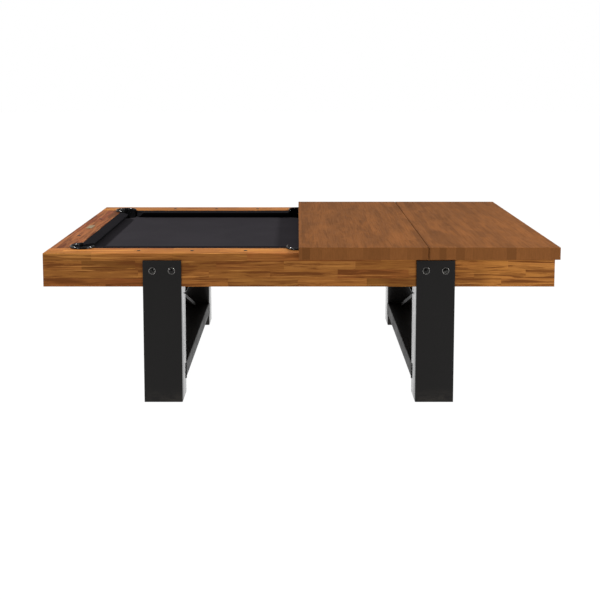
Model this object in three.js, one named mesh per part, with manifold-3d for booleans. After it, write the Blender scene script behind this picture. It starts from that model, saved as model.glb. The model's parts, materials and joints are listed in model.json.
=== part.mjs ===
// A pool table that turns into a dining table: a slate bed with six pockets and cushioned
// hardwood rails, carried on two welded steel leg frames. Two lift-off dining panels cover the
// right half. Millimetres, +X along the table, +Y away from the player at the front, +Z up.
import * as THREE from "three";
import { mergeVertices } from "three/addons/utils/BufferGeometryUtils.js";
import Module from "manifold-3d";

const wasm = await Module();
wasm.setup();

// ---- Driving dimensions -------------------------------------------------------------------

const GAP = 0.3; // between two pieces that touch

// Playing field, between the cushion noses
const FIELD_LENGTH = 2235;
const FIELD_WIDTH = 1118;
const BED_HEIGHT = 747; // top of the cloth above the floor

// Bed
const CLOTH_THICKNESS = 1;
const SLATE_THICKNESS = 25;
const SLATE_MARGIN = 101; // how far the slate runs under the rails, past the noses
const SLATE_JOINT = 406; // from the middle of the table to each joint between slates

// Rails and cushions
const RAIL_WIDTH = 137; // hardwood part
const RAIL_RISE = 40; // rail top above the bed
const CUSHION_DEPTH = 66;
const NOSE_HEIGHT = 36.3; // above the bed
const NOSE_UNDERCUT = 26; // the cushion's foot stands this far behind its nose
const NOSE_BEVEL_DEPTH = 1.5; // small bevel under the nose, behind its tip
const NOSE_BEVEL_FALL = 3.5; // and below it
const NOSE_SHOULDER_DEPTH = 4; // small bevel over the nose, behind its tip
const NOSE_SHOULDER_RISE = 1.5; // and above it
const CUSHION_SAG = 0.8; // the cushion's back edge lies this far under the rail top

// Aprons
const APRON_THICKNESS = 25;
const APRON_HEIGHT = 134;

// Pockets
const POCKET_RADIUS = 58;
const POCKET_WALL = 4;
const POCKET_RIM = 6; // how far the rim reaches over the wood
const POCKET_RIM_RISE = 12;
const POCKET_RIM_BEVEL = 1;
const POCKET_DROP = 107; // bucket floor below the bed
const POCKET_FOOT_BEVEL = 8; // round the bucket's floor
const POCKET_LIP = 8; // the bucket's open side ends this far below the bed
const POCKET_CLEARANCE = 2; // between a bucket and the slate round it
const CORNER_OFFSET = 36; // pocket centre outside the corner of the field, along X and along Y
const SIDE_OFFSET = 64; // pocket centre outside the long side of the field
const CORNER_JAW = 85; // from the corner of the field to the tip of a cushion
const CORNER_JAW_ANGLE = 38; // between a corner jaw and the nose line, degrees
const SIDE_JAW = 65; // from the middle of the side to the tip of a cushion
const SIDE_JAW_ANGLE = 76;

// Timber frame under the slates
const BOLSTER_WIDTH = 160;
const BOLSTER_HEIGHT = 49;
const BEAM_WIDTH = 40;
const BEAM_INSET = 39; // from the long side of the field to the beam's outer face
const BEAM_END_INSET = 8; // from the end of the slate
const CROSS_WIDTH = 60;

// Leg frames
const LEG_SPACING = 1412; // between the middles of the two frames
const LEG_WIDTH = 200;
const POST_DEPTH = 158;
const POST_WALL = 5;
const PLATE_THICKNESS = 8;
const PLATE_RISE = 138; // the face plate above the foot of the apron
const POST_CLEARANCE = 2; // the post's foot above the floor
const FOOT_PLATE_HEIGHT = 30; // above the floor
const FOOT_PLATE_THICKNESS = 6;
const LOWER_BEAM_BOTTOM = 75;
const LOWER_BEAM_HEIGHT = 80;
const LOWER_BEAM_WALL = 4;
const CHANNEL_HEIGHT = 75;
const CHANNEL_THICKNESS = 6;
const BRACE_SIZE = 20;
const BRACE_TOP_INSET = 166; // from a post to the brace's upper end
const BRACE_FOOT_INSET = 53; // from a post to the brace's lower end

// Leg bolts
const BOLT_SPACING = 100;
const BOLT_DROP = 53; // below the top of the face plate
const BOLT_RADIUS = 5;
const BOLT_CLEARANCE = 0.6;
const WASHER_RADIUS = 18;
const WASHER_THICKNESS = 2.5;
const HEAD_RADIUS = 12.5;
const HEAD_HEIGHT = 8;
const NUT_RADIUS = 9.5;
const NUT_HEIGHT = 8;
const NUT_TAIL = 3;

// Levellers
const PAD_RADIUS = 30;
const PAD_HEIGHT = 8;
const PAD_EDGE = 5; // height of the pad's straight edge
const PAD_BOSS_RADIUS = 16; // flat top of the pad
const STEM_RADIUS = 5;
const STEM_TOP = 80;
const STEM_CLEARANCE = 0.5;

// Dining panels and their felt
const PANEL_THICKNESS = 32;
const PANEL_JOINT = 1; // between the two panels
const PANEL_START = 0; // edge of the first panel, from the middle of the table
const PANEL_WIDTH = 666.5; // first panel
const SKIRT_THICKNESS = 18;
const SKIRT_DROP = 32;
const SKIRT_CLEARANCE = 4; // between a skirt and the apron
const RELIEF_DEPTH = 13; // hollow in a panel's underside over each pocket rim
const FELT_THICKNESS = 2.4;
const FELT_INSET = 6;

// Nameplate
const NAMEPLATE_LENGTH = 100;
const NAMEPLATE_WIDTH = 35;
const NAMEPLATE_THICKNESS = 1.2;

// ---- Worked-out dimensions ----------------------------------------------------------------

const FIELD_X = FIELD_LENGTH / 2;
const FIELD_Y = FIELD_WIDTH / 2;
const WOOD_X = FIELD_X + CUSHION_DEPTH; // inner edge of the end rails
const WOOD_Y = FIELD_Y + CUSHION_DEPTH;
const TABLE_X = WOOD_X + RAIL_WIDTH; // outer face of the end rails and aprons
const TABLE_Y = WOOD_Y + RAIL_WIDTH;
const RAIL_TOP = BED_HEIGHT + RAIL_RISE;
const RAIL_BOTTOM = BED_HEIGHT + GAP;
const SLATE_X = FIELD_X + SLATE_MARGIN;
const SLATE_Y = FIELD_Y + SLATE_MARGIN;
const SLATE_TOP = BED_HEIGHT - CLOTH_THICKNESS - GAP;
const SLATE_BOTTOM = SLATE_TOP - SLATE_THICKNESS;
const APRON_BOTTOM = BED_HEIGHT - APRON_HEIGHT;
const POST_TOP = APRON_BOTTOM - GAP;
const PLATE_INNER = TABLE_Y + GAP;
const PLATE_OUTER = PLATE_INNER + PLATE_THICKNESS;
const POST_INNER = PLATE_OUTER - POST_DEPTH;
const PLATE_TOP = APRON_BOTTOM + PLATE_RISE;
const LEG_X = LEG_SPACING / 2;
const LEG_INNER_X = LEG_X - LEG_WIDTH / 2;
const LEG_OUTER_X = LEG_X + LEG_WIDTH / 2;
const CHANNEL_BOTTOM = POST_TOP - CHANNEL_HEIGHT;
const LOWER_BEAM_TOP = LOWER_BEAM_BOTTOM + LOWER_BEAM_HEIGHT;
const BOLSTER_TOP = APRON_BOTTOM + BOLSTER_HEIGHT;
const BEAM_BOTTOM = BOLSTER_TOP + GAP;
const BEAM_TOP = SLATE_BOTTOM - GAP;
const BEAM_OUTER = FIELD_Y - BEAM_INSET;
const BEAM_INNER = BEAM_OUTER - BEAM_WIDTH;
const BEAM_END = SLATE_X - BEAM_END_INSET;
const BOLT_HEIGHT = PLATE_TOP - BOLT_DROP;
const POCKET_OUTER = POCKET_RADIUS + POCKET_WALL;
const RIM_RADIUS = POCKET_OUTER + POCKET_RIM;
const NOTCH_RADIUS = POCKET_OUTER + POCKET_CLEARANCE;
const NOTCH_RUN = 3 * NOTCH_RADIUS; // from a pocket's centre to well past the slate's edge
const CORNER = new THREE.Vector2(FIELD_X + CORNER_OFFSET, FIELD_Y + CORNER_OFFSET);
const SIDE = new THREE.Vector2(0, FIELD_Y + SIDE_OFFSET);
const FELT_BOTTOM = RAIL_TOP + GAP;
const FELT_TOP = FELT_BOTTOM + FELT_THICKNESS;
const PANEL_BOTTOM = FELT_TOP + GAP;
const PANEL_TOP = PANEL_BOTTOM + PANEL_THICKNESS;
const SKIRT_INNER_Y = TABLE_Y + SKIRT_CLEARANCE;
const PANEL_Y = SKIRT_INNER_Y + SKIRT_THICKNESS;
const SKIRT_INNER_X = TABLE_X + SKIRT_CLEARANCE;
const PANEL_END = SKIRT_INNER_X + SKIRT_THICKNESS;
const PAST = 10; // how far a cutting tool runs past what it cuts
const ROUND = 32; // facets round a pocket
const SMALL_ROUND = 12; // facets round a bolt or a leveller
const DOME_STEPS = 3; // facets from the edge of a bolt's domed head to its top
const MERGE = 1e-3; // points closer than this are one point

// ---- Materials ----------------------------------------------------------------------------

function finish(color, roughness, metalness = 0) {
  return new THREE.MeshStandardMaterial({ color, roughness, metalness });
}

const acacia = finish(0xa0662f, 0.45);
const walnutStain = finish(0x8f6038, 0.5);
const cushionCloth = finish(0x2b292b, 0.95);
const bedCloth = finish(0x3a383b, 0.95);
const slateStone = finish(0x55595c, 0.8);
const frameTimber = finish(0xc39a66, 0.75);
const blackSteel = finish(0x262422, 0.5, 0.3);
const blackPlastic = finish(0x0d0d0e, 0.25);
const boltSteel = finish(0x1c1b1b, 0.4, 0.6);
const brass = finish(0xc9a868, 0.3, 0.9);
const felt = finish(0x201e1f, 1);

// ---- Shapes -------------------------------------------------------------------------------

function block(x0, x1, y0, y1, z0, z1) {
  const box = new THREE.BoxGeometry(x1 - x0, y1 - y0, z1 - z0);
  return box.translate((x0 + x1) / 2, (y0 + y1) / 2, (z0 + z1) / 2);
}

function disc(centre, radius, z0, z1, facets = ROUND) {
  const cylinder = new THREE.CylinderGeometry(radius, radius, z1 - z0, facets);
  return cylinder.rotateX(Math.PI / 2).translate(centre.x, centre.y, (z0 + z1) / 2);
}

// A hole or pin along Y.
function crossDisc(x, z, radius, y0, y1) {
  const cylinder = new THREE.CylinderGeometry(radius, radius, y1 - y0, SMALL_ROUND);
  return cylinder.translate(x, (y0 + y1) / 2, z);
}

// A plan outline of [x, y] points, raised from z0 to z1.
function prism(points, z0, z1) {
  const outline = new THREE.Shape(points.map(([x, y]) => new THREE.Vector2(x, y)));
  const raised = new THREE.ExtrudeGeometry(outline, { depth: z1 - z0, bevelEnabled: false });
  return raised.translate(0, 0, z0);
}

// A section of [y, z] points, drawn out along X from x0 to x1.
function bar(points, x0, x1) {
  return prism(points, x0, x1).rotateY(Math.PI / 2).rotateX(Math.PI / 2);
}

// A section of [radius, z] points, turned about the Z axis.
function turned(points, facets) {
  const section = points.map(([r, z]) => new THREE.Vector2(r, z));
  return new THREE.LatheGeometry(section, facets).rotateX(Math.PI / 2);
}

function toSolid(geometry) {
  const bare = geometry.clone();
  bare.deleteAttribute("normal");
  bare.deleteAttribute("uv");
  const merged = mergeVertices(bare, MERGE);
  const vertProperties = merged.attributes.position.array;
  const triVerts = new Uint32Array(merged.index.array);
  return new wasm.Manifold(new wasm.Mesh({ numProp: 3, vertProperties, triVerts }));
}

function fromSolid(solid) {
  const mesh = solid.getMesh();
  const geometry = new THREE.BufferGeometry();
  geometry.setAttribute("position", new THREE.BufferAttribute(mesh.vertProperties, 3));
  geometry.setIndex(new THREE.BufferAttribute(mesh.triVerts, 1));
  geometry.computeVertexNormals();
  return geometry;
}

function join(...geometries) {
  return fromSolid(geometries.map(toSolid).reduce((sum, solid) => sum.add(solid)));
}

function cut(geometry, ...tools) {
  return fromSolid(tools.map(toSolid).reduce((rest, tool) => rest.subtract(tool), toSolid(geometry)));
}

function common(first, second) {
  return fromSolid(toSolid(first).intersect(toSolid(second)));
}

// The same shape on the other side of the table: sx and sy are 1 or -1.
function mirrored(geometry, sx, sy) {
  const copy = geometry.clone().scale(sx, sy, 1);
  if (sx * sy > 0) return copy;
  if (!copy.index) {
    const corners = [...Array(copy.attributes.position.count).keys()];
    copy.setIndex(corners);
  }
  const turns = copy.index.array;
  for (let i = 0; i < turns.length; i += 3) {
    [turns[i + 1], turns[i + 2]] = [turns[i + 2], turns[i + 1]];
  }
  copy.computeVertexNormals();
  return copy;
}

// ---- Assembly -----------------------------------------------------------------------------

const table = new THREE.Group();
table.name = "pool_table";
// The dining top overhangs only the right end, so the middle of the whole lies to the right.
table.position.x = (TABLE_X - PANEL_END) / 2;

const SIDES = { front: -1, rear: 1 };
const ENDS = { left: -1, right: 1 };

function place(name, geometry, material) {
  const mesh = new THREE.Mesh(geometry, material);
  mesh.name = name;
  table.add(mesh);
}

// One copy at the front and one at the rear, from a shape drawn for the rear.
function placeOnSides(stem, geometry, material) {
  for (const [side, sy] of Object.entries(SIDES)) {
    place(`${stem}_${side}`, mirrored(geometry, 1, sy), material);
  }
}

// One copy at each end, from a shape drawn for the right end.
function placeAtEnds(stem, geometry, material) {
  for (const [end, sx] of Object.entries(ENDS)) {
    place(`${stem}_${end}`, mirrored(geometry, sx, 1), material);
  }
}

// One copy in each quarter, from a shape drawn for the rear right quarter.
function placeInQuarters(stem, geometry, material, tail = "") {
  for (const [side, sy] of Object.entries(SIDES)) {
    for (const [end, sx] of Object.entries(ENDS)) {
      place(`${stem}_${side}_${end}${tail}`, mirrored(geometry, sx, sy), material);
    }
  }
}

// ---- Rails and aprons ---------------------------------------------------------------------

function pocketHoles(radius, z0, z1) {
  const centres = [SIDE, CORNER, new THREE.Vector2(-CORNER.x, CORNER.y)];
  return centres.map((centre) => disc(centre, radius, z0, z1));
}

function addRails() {
  const hole = POCKET_OUTER + GAP;
  const long = block(-TABLE_X, TABLE_X, WOOD_Y, TABLE_Y, RAIL_BOTTOM, RAIL_TOP);
  const holes = pocketHoles(hole, RAIL_BOTTOM - PAST, RAIL_TOP + PAST);
  placeOnSides("rail", cut(long, ...holes), acacia);

  const endY = WOOD_Y - GAP;
  const short = block(WOOD_X, TABLE_X, -endY, endY, RAIL_BOTTOM, RAIL_TOP);
  const corners = [1, -1].map((sy) => {
    const centre = new THREE.Vector2(CORNER.x, sy * CORNER.y);
    return disc(centre, hole, RAIL_BOTTOM - PAST, RAIL_TOP + PAST);
  });
  placeAtEnds("rail", cut(short, ...corners), acacia);
}

function boltPlaces() {
  const half = BOLT_SPACING / 2;
  return [LEG_X - half, LEG_X + half];
}

function addAprons() {
  const inner = TABLE_Y - APRON_THICKNESS;
  const long = block(-TABLE_X, TABLE_X, inner, TABLE_Y, APRON_BOTTOM, BED_HEIGHT);
  const holes = boltPlaces().flatMap((x) =>
    [x, -x].map((at) =>
      crossDisc(at, BOLT_HEIGHT, BOLT_RADIUS + BOLT_CLEARANCE, inner - PAST, TABLE_Y + PAST),
    ),
  );
  placeOnSides("apron", cut(long, ...holes), acacia);

  const endY = inner - GAP;
  const short = block(TABLE_X - APRON_THICKNESS, TABLE_X, -endY, endY, APRON_BOTTOM, BED_HEIGHT);
  placeAtEnds("apron", short, acacia);
}

// ---- Cushions -----------------------------------------------------------------------------

// Where a jaw leaves the nose line, and where it would reach the wood, as distances along the
// rail from a pocket's own corner or middle.
function jawReach(tip, angle) {
  return tip - CUSHION_DEPTH / Math.tan(THREE.MathUtils.degToRad(angle));
}

// The cushion's section: distance behind the nose, and height above the bed.
function cushionSection() {
  const back = CUSHION_DEPTH - GAP;
  return [
    [0, NOSE_HEIGHT],
    [NOSE_BEVEL_DEPTH, NOSE_HEIGHT - NOSE_BEVEL_FALL],
    [NOSE_UNDERCUT, GAP],
    [back, GAP],
    [back, RAIL_RISE - CUSHION_SAG],
    [NOSE_SHOULDER_DEPTH, NOSE_HEIGHT + NOSE_SHOULDER_RISE],
  ];
}

// A cushion behind the line y = nose, from x0 to x1 at its nose and from b0 to b1 at its back.
function cushion(nose, x0, x1, b0, b1) {
  const section = cushionSection().map(([u, v]) => [nose + u, BED_HEIGHT + v]);
  const low = Math.min(x0, b0) - PAST;
  const high = Math.max(x1, b1) + PAST;
  const strip = bar(section, low, high);
  const plan = [
    [x0, nose],
    [x1, nose],
    [b1, nose + CUSHION_DEPTH],
    [b0, nose + CUSHION_DEPTH],
  ];
  return common(strip, prism(plan, BED_HEIGHT - PAST, RAIL_TOP + PAST));
}

function addCushions() {
  const hole = POCKET_OUTER + GAP;
  const low = BED_HEIGHT - PAST;
  const high = RAIL_TOP + PAST;

  const sideBack = jawReach(SIDE_JAW, SIDE_JAW_ANGLE);
  const cornerBack = FIELD_X - jawReach(CORNER_JAW, CORNER_JAW_ANGLE);
  const long = cushion(FIELD_Y, SIDE_JAW, FIELD_X - CORNER_JAW, sideBack, cornerBack);
  const trimmed = cut(long, disc(SIDE, hole, low, high), disc(CORNER, hole, low, high));
  placeInQuarters("cushion", trimmed, cushionCloth);

  const tip = FIELD_Y - CORNER_JAW;
  const back = FIELD_Y - jawReach(CORNER_JAW, CORNER_JAW_ANGLE);
  const along = cushion(FIELD_X, -tip, tip, -back, back).rotateZ(-Math.PI / 2);
  const corners = [1, -1].map((sy) => disc(new THREE.Vector2(CORNER.x, sy * CORNER.y), hole, low, high));
  placeAtEnds("cushion", cut(along, ...corners), cushionCloth);
}

// ---- Bed ----------------------------------------------------------------------------------

// The notch at a corner pocket: round at the pocket and open through the corner of the slate.
function cornerNotch(sx, sy, z0, z1) {
  const way = block(0, NOTCH_RUN, -NOTCH_RADIUS, NOTCH_RADIUS, z0, z1);
  const heading = way.rotateZ(Math.atan2(sy, sx)).translate(sx * CORNER.x, sy * CORNER.y, 0);
  return join(disc(new THREE.Vector2(sx * CORNER.x, sy * CORNER.y), NOTCH_RADIUS, z0, z1), heading);
}

function sideNotch(sy, z0, z1) {
  const way = block(-NOTCH_RADIUS, NOTCH_RADIUS, SIDE.y, SIDE.y + NOTCH_RUN, z0, z1);
  return mirrored(join(disc(SIDE, NOTCH_RADIUS, z0, z1), way), 1, sy);
}

function bedPlate(x0, x1, z0, z1) {
  const notches = [1, -1].flatMap((sy) => [
    sideNotch(sy, z0 - PAST, z1 + PAST),
    cornerNotch(1, sy, z0 - PAST, z1 + PAST),
    cornerNotch(-1, sy, z0 - PAST, z1 + PAST),
  ]);
  return cut(block(x0, x1, -SLATE_Y, SLATE_Y, z0, z1), ...notches);
}

function addBed() {
  const joint = SLATE_JOINT + GAP / 2;
  const inner = SLATE_JOINT - GAP / 2;
  place("slate_left", bedPlate(-SLATE_X, -joint, SLATE_BOTTOM, SLATE_TOP), slateStone);
  place("slate_middle", bedPlate(-inner, inner, SLATE_BOTTOM, SLATE_TOP), slateStone);
  place("slate_right", bedPlate(joint, SLATE_X, SLATE_BOTTOM, SLATE_TOP), slateStone);
  const clothBottom = BED_HEIGHT - CLOTH_THICKNESS;
  place("bed_cloth", bedPlate(-SLATE_X, SLATE_X, clothBottom, BED_HEIGHT), bedCloth);
}

// ---- Pockets ------------------------------------------------------------------------------

// A bucket with a floor, and a flat rim that lies on the wood.
function pocketBody() {
  const floor = BED_HEIGHT - POCKET_DROP;
  const rimTop = RAIL_TOP + GAP + POCKET_RIM_RISE;
  return turned(
    [
      [0, floor],
      [POCKET_OUTER - POCKET_FOOT_BEVEL, floor],
      [POCKET_OUTER, floor + POCKET_FOOT_BEVEL],
      [POCKET_OUTER, RAIL_TOP + GAP],
      [RIM_RADIUS, RAIL_TOP + GAP],
      [RIM_RADIUS - POCKET_RIM_BEVEL, rimTop],
      [POCKET_RADIUS + POCKET_RIM_BEVEL, rimTop],
      [POCKET_RADIUS, rimTop - POCKET_RIM_BEVEL],
      [POCKET_RADIUS, floor + POCKET_FOOT_BEVEL + POCKET_WALL / 2],
      [POCKET_RADIUS - POCKET_FOOT_BEVEL, floor + POCKET_WALL],
      [0, floor + POCKET_WALL],
    ],
    ROUND,
  );
}

// Where the line from a cushion's tip to its back meets the outside of a bucket.
function meeting(tip, back, centre) {
  const start = new THREE.Vector2(...tip).sub(centre);
  const along = new THREE.Vector2(...back).sub(new THREE.Vector2(...tip));
  const half = start.dot(along);
  const share = -half - Math.sqrt(half ** 2 - along.lengthSq() * (start.lengthSq() - POCKET_OUTER ** 2));
  const point = start.addScaledVector(along, share / along.lengthSq()).add(centre);
  return [point.x, point.y];
}

// The way in: everything above the lip between the two jaws that lead to a pocket.
function mouth(tips, backs, centre, field) {
  const ends = tips.map((tip, i) => meeting(tip, backs[i], centre));
  const outline = [tips[0], ends[0], [centre.x, centre.y], ends[1], tips[1], field];
  return prism(outline, BED_HEIGHT - POCKET_LIP, RAIL_TOP + POCKET_RIM_RISE + PAST);
}

function addPockets() {
  const back = jawReach(CORNER_JAW, CORNER_JAW_ANGLE);
  const tips = [
    [FIELD_X, FIELD_Y - CORNER_JAW],
    [FIELD_X - CORNER_JAW, FIELD_Y],
  ];
  const backs = [
    [WOOD_X, FIELD_Y - back],
    [FIELD_X - back, WOOD_Y],
  ];
  const inField = [FIELD_X - CORNER_JAW, FIELD_Y - CORNER_JAW];
  const cornerPocket = pocketBody().translate(CORNER.x, CORNER.y, 0);
  placeInQuarters("pocket", cut(cornerPocket, mouth(tips, backs, CORNER, inField)), blackPlastic);

  const sideBack = jawReach(SIDE_JAW, SIDE_JAW_ANGLE);
  const sideTips = [
    [SIDE_JAW, FIELD_Y],
    [-SIDE_JAW, FIELD_Y],
  ];
  const sideBacks = [
    [sideBack, WOOD_Y],
    [-sideBack, WOOD_Y],
  ];
  const sidePocket = pocketBody().translate(SIDE.x, SIDE.y, 0);
  const way = mouth(sideTips, sideBacks, SIDE, [0, FIELD_Y - SIDE_JAW]);
  placeOnSides("pocket_side", cut(sidePocket, way), blackPlastic);
}

// ---- Timber frame -------------------------------------------------------------------------

function addTimberFrame() {
  const reach = TABLE_Y - APRON_THICKNESS - GAP;
  const half = BOLSTER_WIDTH / 2;
  const bolster = block(LEG_X - half, LEG_X + half, -reach, reach, APRON_BOTTOM, BOLSTER_TOP);
  placeAtEnds("bolster", bolster, frameTimber);

  const beam = block(-BEAM_END, BEAM_END, BEAM_INNER, BEAM_OUTER, BEAM_BOTTOM, BEAM_TOP);
  placeOnSides("frame_beam", beam, frameTimber);

  const crossY = BEAM_INNER - GAP;
  const middles = { left: -(BEAM_END - CROSS_WIDTH / 2), middle: 0, right: BEAM_END - CROSS_WIDTH / 2 };
  for (const [where, x] of Object.entries(middles)) {
    const low = x - CROSS_WIDTH / 2;
    const member = block(low, low + CROSS_WIDTH, -crossY, crossY, BEAM_BOTTOM, BEAM_TOP);
    place(`cross_member_${where}`, member, frameTimber);
  }
}

// ---- Leg frames ---------------------------------------------------------------------------

const LEVELLER = new THREE.Vector2(LEG_X, (POST_INNER + PLATE_OUTER) / 2);

function post() {
  const outer = block(LEG_INNER_X, LEG_OUTER_X, POST_INNER, PLATE_OUTER, POST_CLEARANCE, POST_TOP);
  const hollow = block(
    LEG_INNER_X + POST_WALL,
    LEG_OUTER_X - POST_WALL,
    POST_INNER + POST_WALL,
    PLATE_OUTER - PLATE_THICKNESS,
    POST_CLEARANCE - PAST,
    POST_TOP - POST_WALL,
  );
  const footPlate = block(
    LEG_INNER_X + POST_WALL / 2,
    LEG_OUTER_X - POST_WALL / 2,
    POST_INNER + POST_WALL / 2,
    PLATE_INNER + PLATE_THICKNESS / 2,
    FOOT_PLATE_HEIGHT,
    FOOT_PLATE_HEIGHT + FOOT_PLATE_THICKNESS,
  );
  const facePlate = block(
    LEG_INNER_X,
    LEG_OUTER_X,
    PLATE_INNER,
    PLATE_OUTER,
    POST_TOP - PLATE_THICKNESS,
    PLATE_TOP,
  );
  const stemHole = disc(
    LEVELLER,
    STEM_RADIUS + STEM_CLEARANCE,
    FOOT_PLATE_HEIGHT - PAST,
    FOOT_PLATE_HEIGHT + FOOT_PLATE_THICKNESS + PAST,
    SMALL_ROUND,
  );
  const boltHoles = boltPlaces().map((x) =>
    crossDisc(x, BOLT_HEIGHT, BOLT_RADIUS + BOLT_CLEARANCE, PLATE_INNER - PAST, PLATE_OUTER + PAST),
  );
  const shell = cut(outer, hollow);
  return cut(join(shell, footPlate, facePlate), stemHole, ...boltHoles);
}

function tube(x0, x1, y0, y1, z0, z1, wall) {
  const outer = block(x0, x1, y0, y1, z0, z1);
  return cut(outer, block(x0 + wall, x1 - wall, y0 - PAST, y1 + PAST, z0 + wall, z1 - wall));
}

function topChannel(y0, y1) {
  const web = CHANNEL_THICKNESS / 2;
  const flangeTop = block(LEG_INNER_X, LEG_OUTER_X, y0, y1, POST_TOP - CHANNEL_THICKNESS, POST_TOP);
  const flangeFoot = flangeTop.clone().translate(0, 0, CHANNEL_THICKNESS - CHANNEL_HEIGHT);
  const upright = block(LEG_X - web, LEG_X + web, y0, y1, CHANNEL_BOTTOM + web, POST_TOP - web);
  return join(flangeTop, upright, flangeFoot);
}

// A square bar that leans from under the channel to the top of the lower beam. dir is 1 when it
// starts at the front and falls towards the rear.
function brace(x0, dir) {
  const top = CHANNEL_BOTTOM - GAP;
  const foot = LOWER_BEAM_TOP + GAP;
  const topY = -(POST_INNER - BRACE_TOP_INSET);
  const footY = POST_INNER - BRACE_FOOT_INSET;
  const lean = Math.atan2(top - foot, footY - topY);
  const halfCut = BRACE_SIZE / 2 / Math.sin(lean);
  const section = [
    [dir * (topY - halfCut), top],
    [dir * (footY - halfCut), foot],
    [dir * (footY + halfCut), foot],
    [dir * (topY + halfCut), top],
  ];
  if (dir < 0) section.reverse();
  return bar(section, x0, x0 + BRACE_SIZE);
}

// The outline of a dome as [radius, z] points, from its edge to its top on the axis.
function dome(radius, foot, height) {
  const points = [];
  for (let i = 0; i < DOME_STEPS; i++) {
    const turn = ((i / DOME_STEPS) * Math.PI) / 2;
    points.push([radius * Math.cos(turn), foot + height * Math.sin(turn)]);
  }
  return [...points, [0, foot + height]];
}

function bolt(x) {
  const washerFoot = GAP;
  const washerTop = washerFoot + WASHER_THICKNESS;
  const nutTop = -(PLATE_THICKNESS + APRON_THICKNESS + 2 * GAP);
  const section = [
    [0, nutTop - NUT_HEIGHT - NUT_TAIL],
    [BOLT_RADIUS, nutTop - NUT_HEIGHT - NUT_TAIL],
    [BOLT_RADIUS, nutTop - NUT_HEIGHT],
    [NUT_RADIUS, nutTop - NUT_HEIGHT],
    [NUT_RADIUS, nutTop],
    [BOLT_RADIUS, nutTop],
    [BOLT_RADIUS, washerFoot],
    [WASHER_RADIUS, washerFoot],
    [WASHER_RADIUS, washerTop],
    ...dome(HEAD_RADIUS, washerTop, HEAD_HEIGHT),
  ];
  const facingRear = turned(section, SMALL_ROUND).rotateX(-Math.PI / 2);
  return facingRear.translate(x, PLATE_OUTER, BOLT_HEIGHT);
}

function leveller() {
  const section = [
    [0, 0],
    [PAD_RADIUS, 0],
    [PAD_RADIUS, PAD_EDGE],
    [PAD_BOSS_RADIUS, PAD_HEIGHT],
    [STEM_RADIUS, PAD_HEIGHT],
    [STEM_RADIUS, STEM_TOP],
    [0, STEM_TOP],
  ];
  return turned(section, SMALL_ROUND).translate(LEVELLER.x, LEVELLER.y, 0);
}

function addLegFrames() {
  placeInQuarters("leg_post", post(), blackSteel);
  const reach = POST_INNER - GAP;
  const foot = tube(
    LEG_INNER_X,
    LEG_OUTER_X,
    -reach,
    reach,
    LOWER_BEAM_BOTTOM,
    LOWER_BEAM_TOP,
    LOWER_BEAM_WALL,
  );
  placeAtEnds("leg_lower_beam", foot, blackSteel);
  placeAtEnds("leg_top_channel", topChannel(-reach, reach), blackSteel);
  const inner = LEG_X - BRACE_SIZE;
  placeAtEnds("leg_brace_falling", brace(inner, 1), blackSteel);
  placeAtEnds("leg_brace_rising", brace(inner + BRACE_SIZE + GAP, -1), blackSteel);
  boltPlaces().forEach((x, i) => placeInQuarters("leg_bolt", bolt(x), boltSteel, `_${i + 1}`));
  placeInQuarters("leveller", leveller(), boltSteel);
}

// ---- Dining panels ------------------------------------------------------------------------

// Upright cutters over every pocket, with room round the rim.
function rimRoom(z0, z1) {
  const holes = pocketHoles(RIM_RADIUS + POCKET_CLEARANCE, z0, z1);
  return [...holes, ...holes.map((hole) => mirrored(hole, 1, -1))];
}

function diningPanel(x0, x1, endSkirt) {
  const skirtFoot = PANEL_BOTTOM - SKIRT_DROP;
  const skirt = block(x0, x1, SKIRT_INNER_Y, PANEL_Y, skirtFoot, PANEL_TOP);
  const pieces = [block(x0, x1, -PANEL_Y, PANEL_Y, PANEL_BOTTOM, PANEL_TOP), skirt];
  pieces.push(mirrored(skirt, 1, -1));
  if (endSkirt) pieces.push(block(SKIRT_INNER_X, x1, -PANEL_Y, PANEL_Y, skirtFoot, PANEL_TOP));
  return cut(join(...pieces), ...rimRoom(PANEL_BOTTOM - PAST, PANEL_BOTTOM + RELIEF_DEPTH));
}

function feltLining(x0, x1) {
  const y = SKIRT_INNER_Y - FELT_INSET;
  const sheet = block(x0, x1, -y, y, FELT_BOTTOM, FELT_TOP);
  return cut(sheet, ...rimRoom(FELT_BOTTOM - PAST, FELT_TOP + PAST));
}

function addDiningTop() {
  const joint = PANEL_START + PANEL_WIDTH;
  const second = joint + PANEL_JOINT;
  place("dining_panel_middle", diningPanel(PANEL_START, joint, false), walnutStain);
  place("dining_panel_end", diningPanel(second, PANEL_END, true), walnutStain);
  place("panel_felt_middle", feltLining(PANEL_START + FELT_INSET, joint - FELT_INSET), felt);
  place("panel_felt_end", feltLining(second + FELT_INSET, SKIRT_INNER_X - FELT_INSET), felt);
}

// ---- Nameplate ----------------------------------------------------------------------------

function addNameplate() {
  const x = -(WOOD_X + RAIL_WIDTH / 2);
  const halfX = NAMEPLATE_WIDTH / 2;
  const halfY = NAMEPLATE_LENGTH / 2;
  const z = RAIL_TOP + GAP;
  place("nameplate", block(x - halfX, x + halfX, -halfY, halfY, z, z + NAMEPLATE_THICKNESS), brass);
}

addRails();
addAprons();
addCushions();
addBed();
addPockets();
addTimberFrame();
addLegFrames();
addDiningTop();
addNameplate();

export default table;
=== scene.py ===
"""Finishes a pool table whose slate bed is half covered by two lift-off dining panels.

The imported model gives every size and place. Each operator builds one group of pieces round it.
Everything is in metres: +X along the table, +Y to the rear, +Z up.
"""

import json
import math

import bmesh
import bpy
from mathutils import Matrix, Vector


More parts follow.
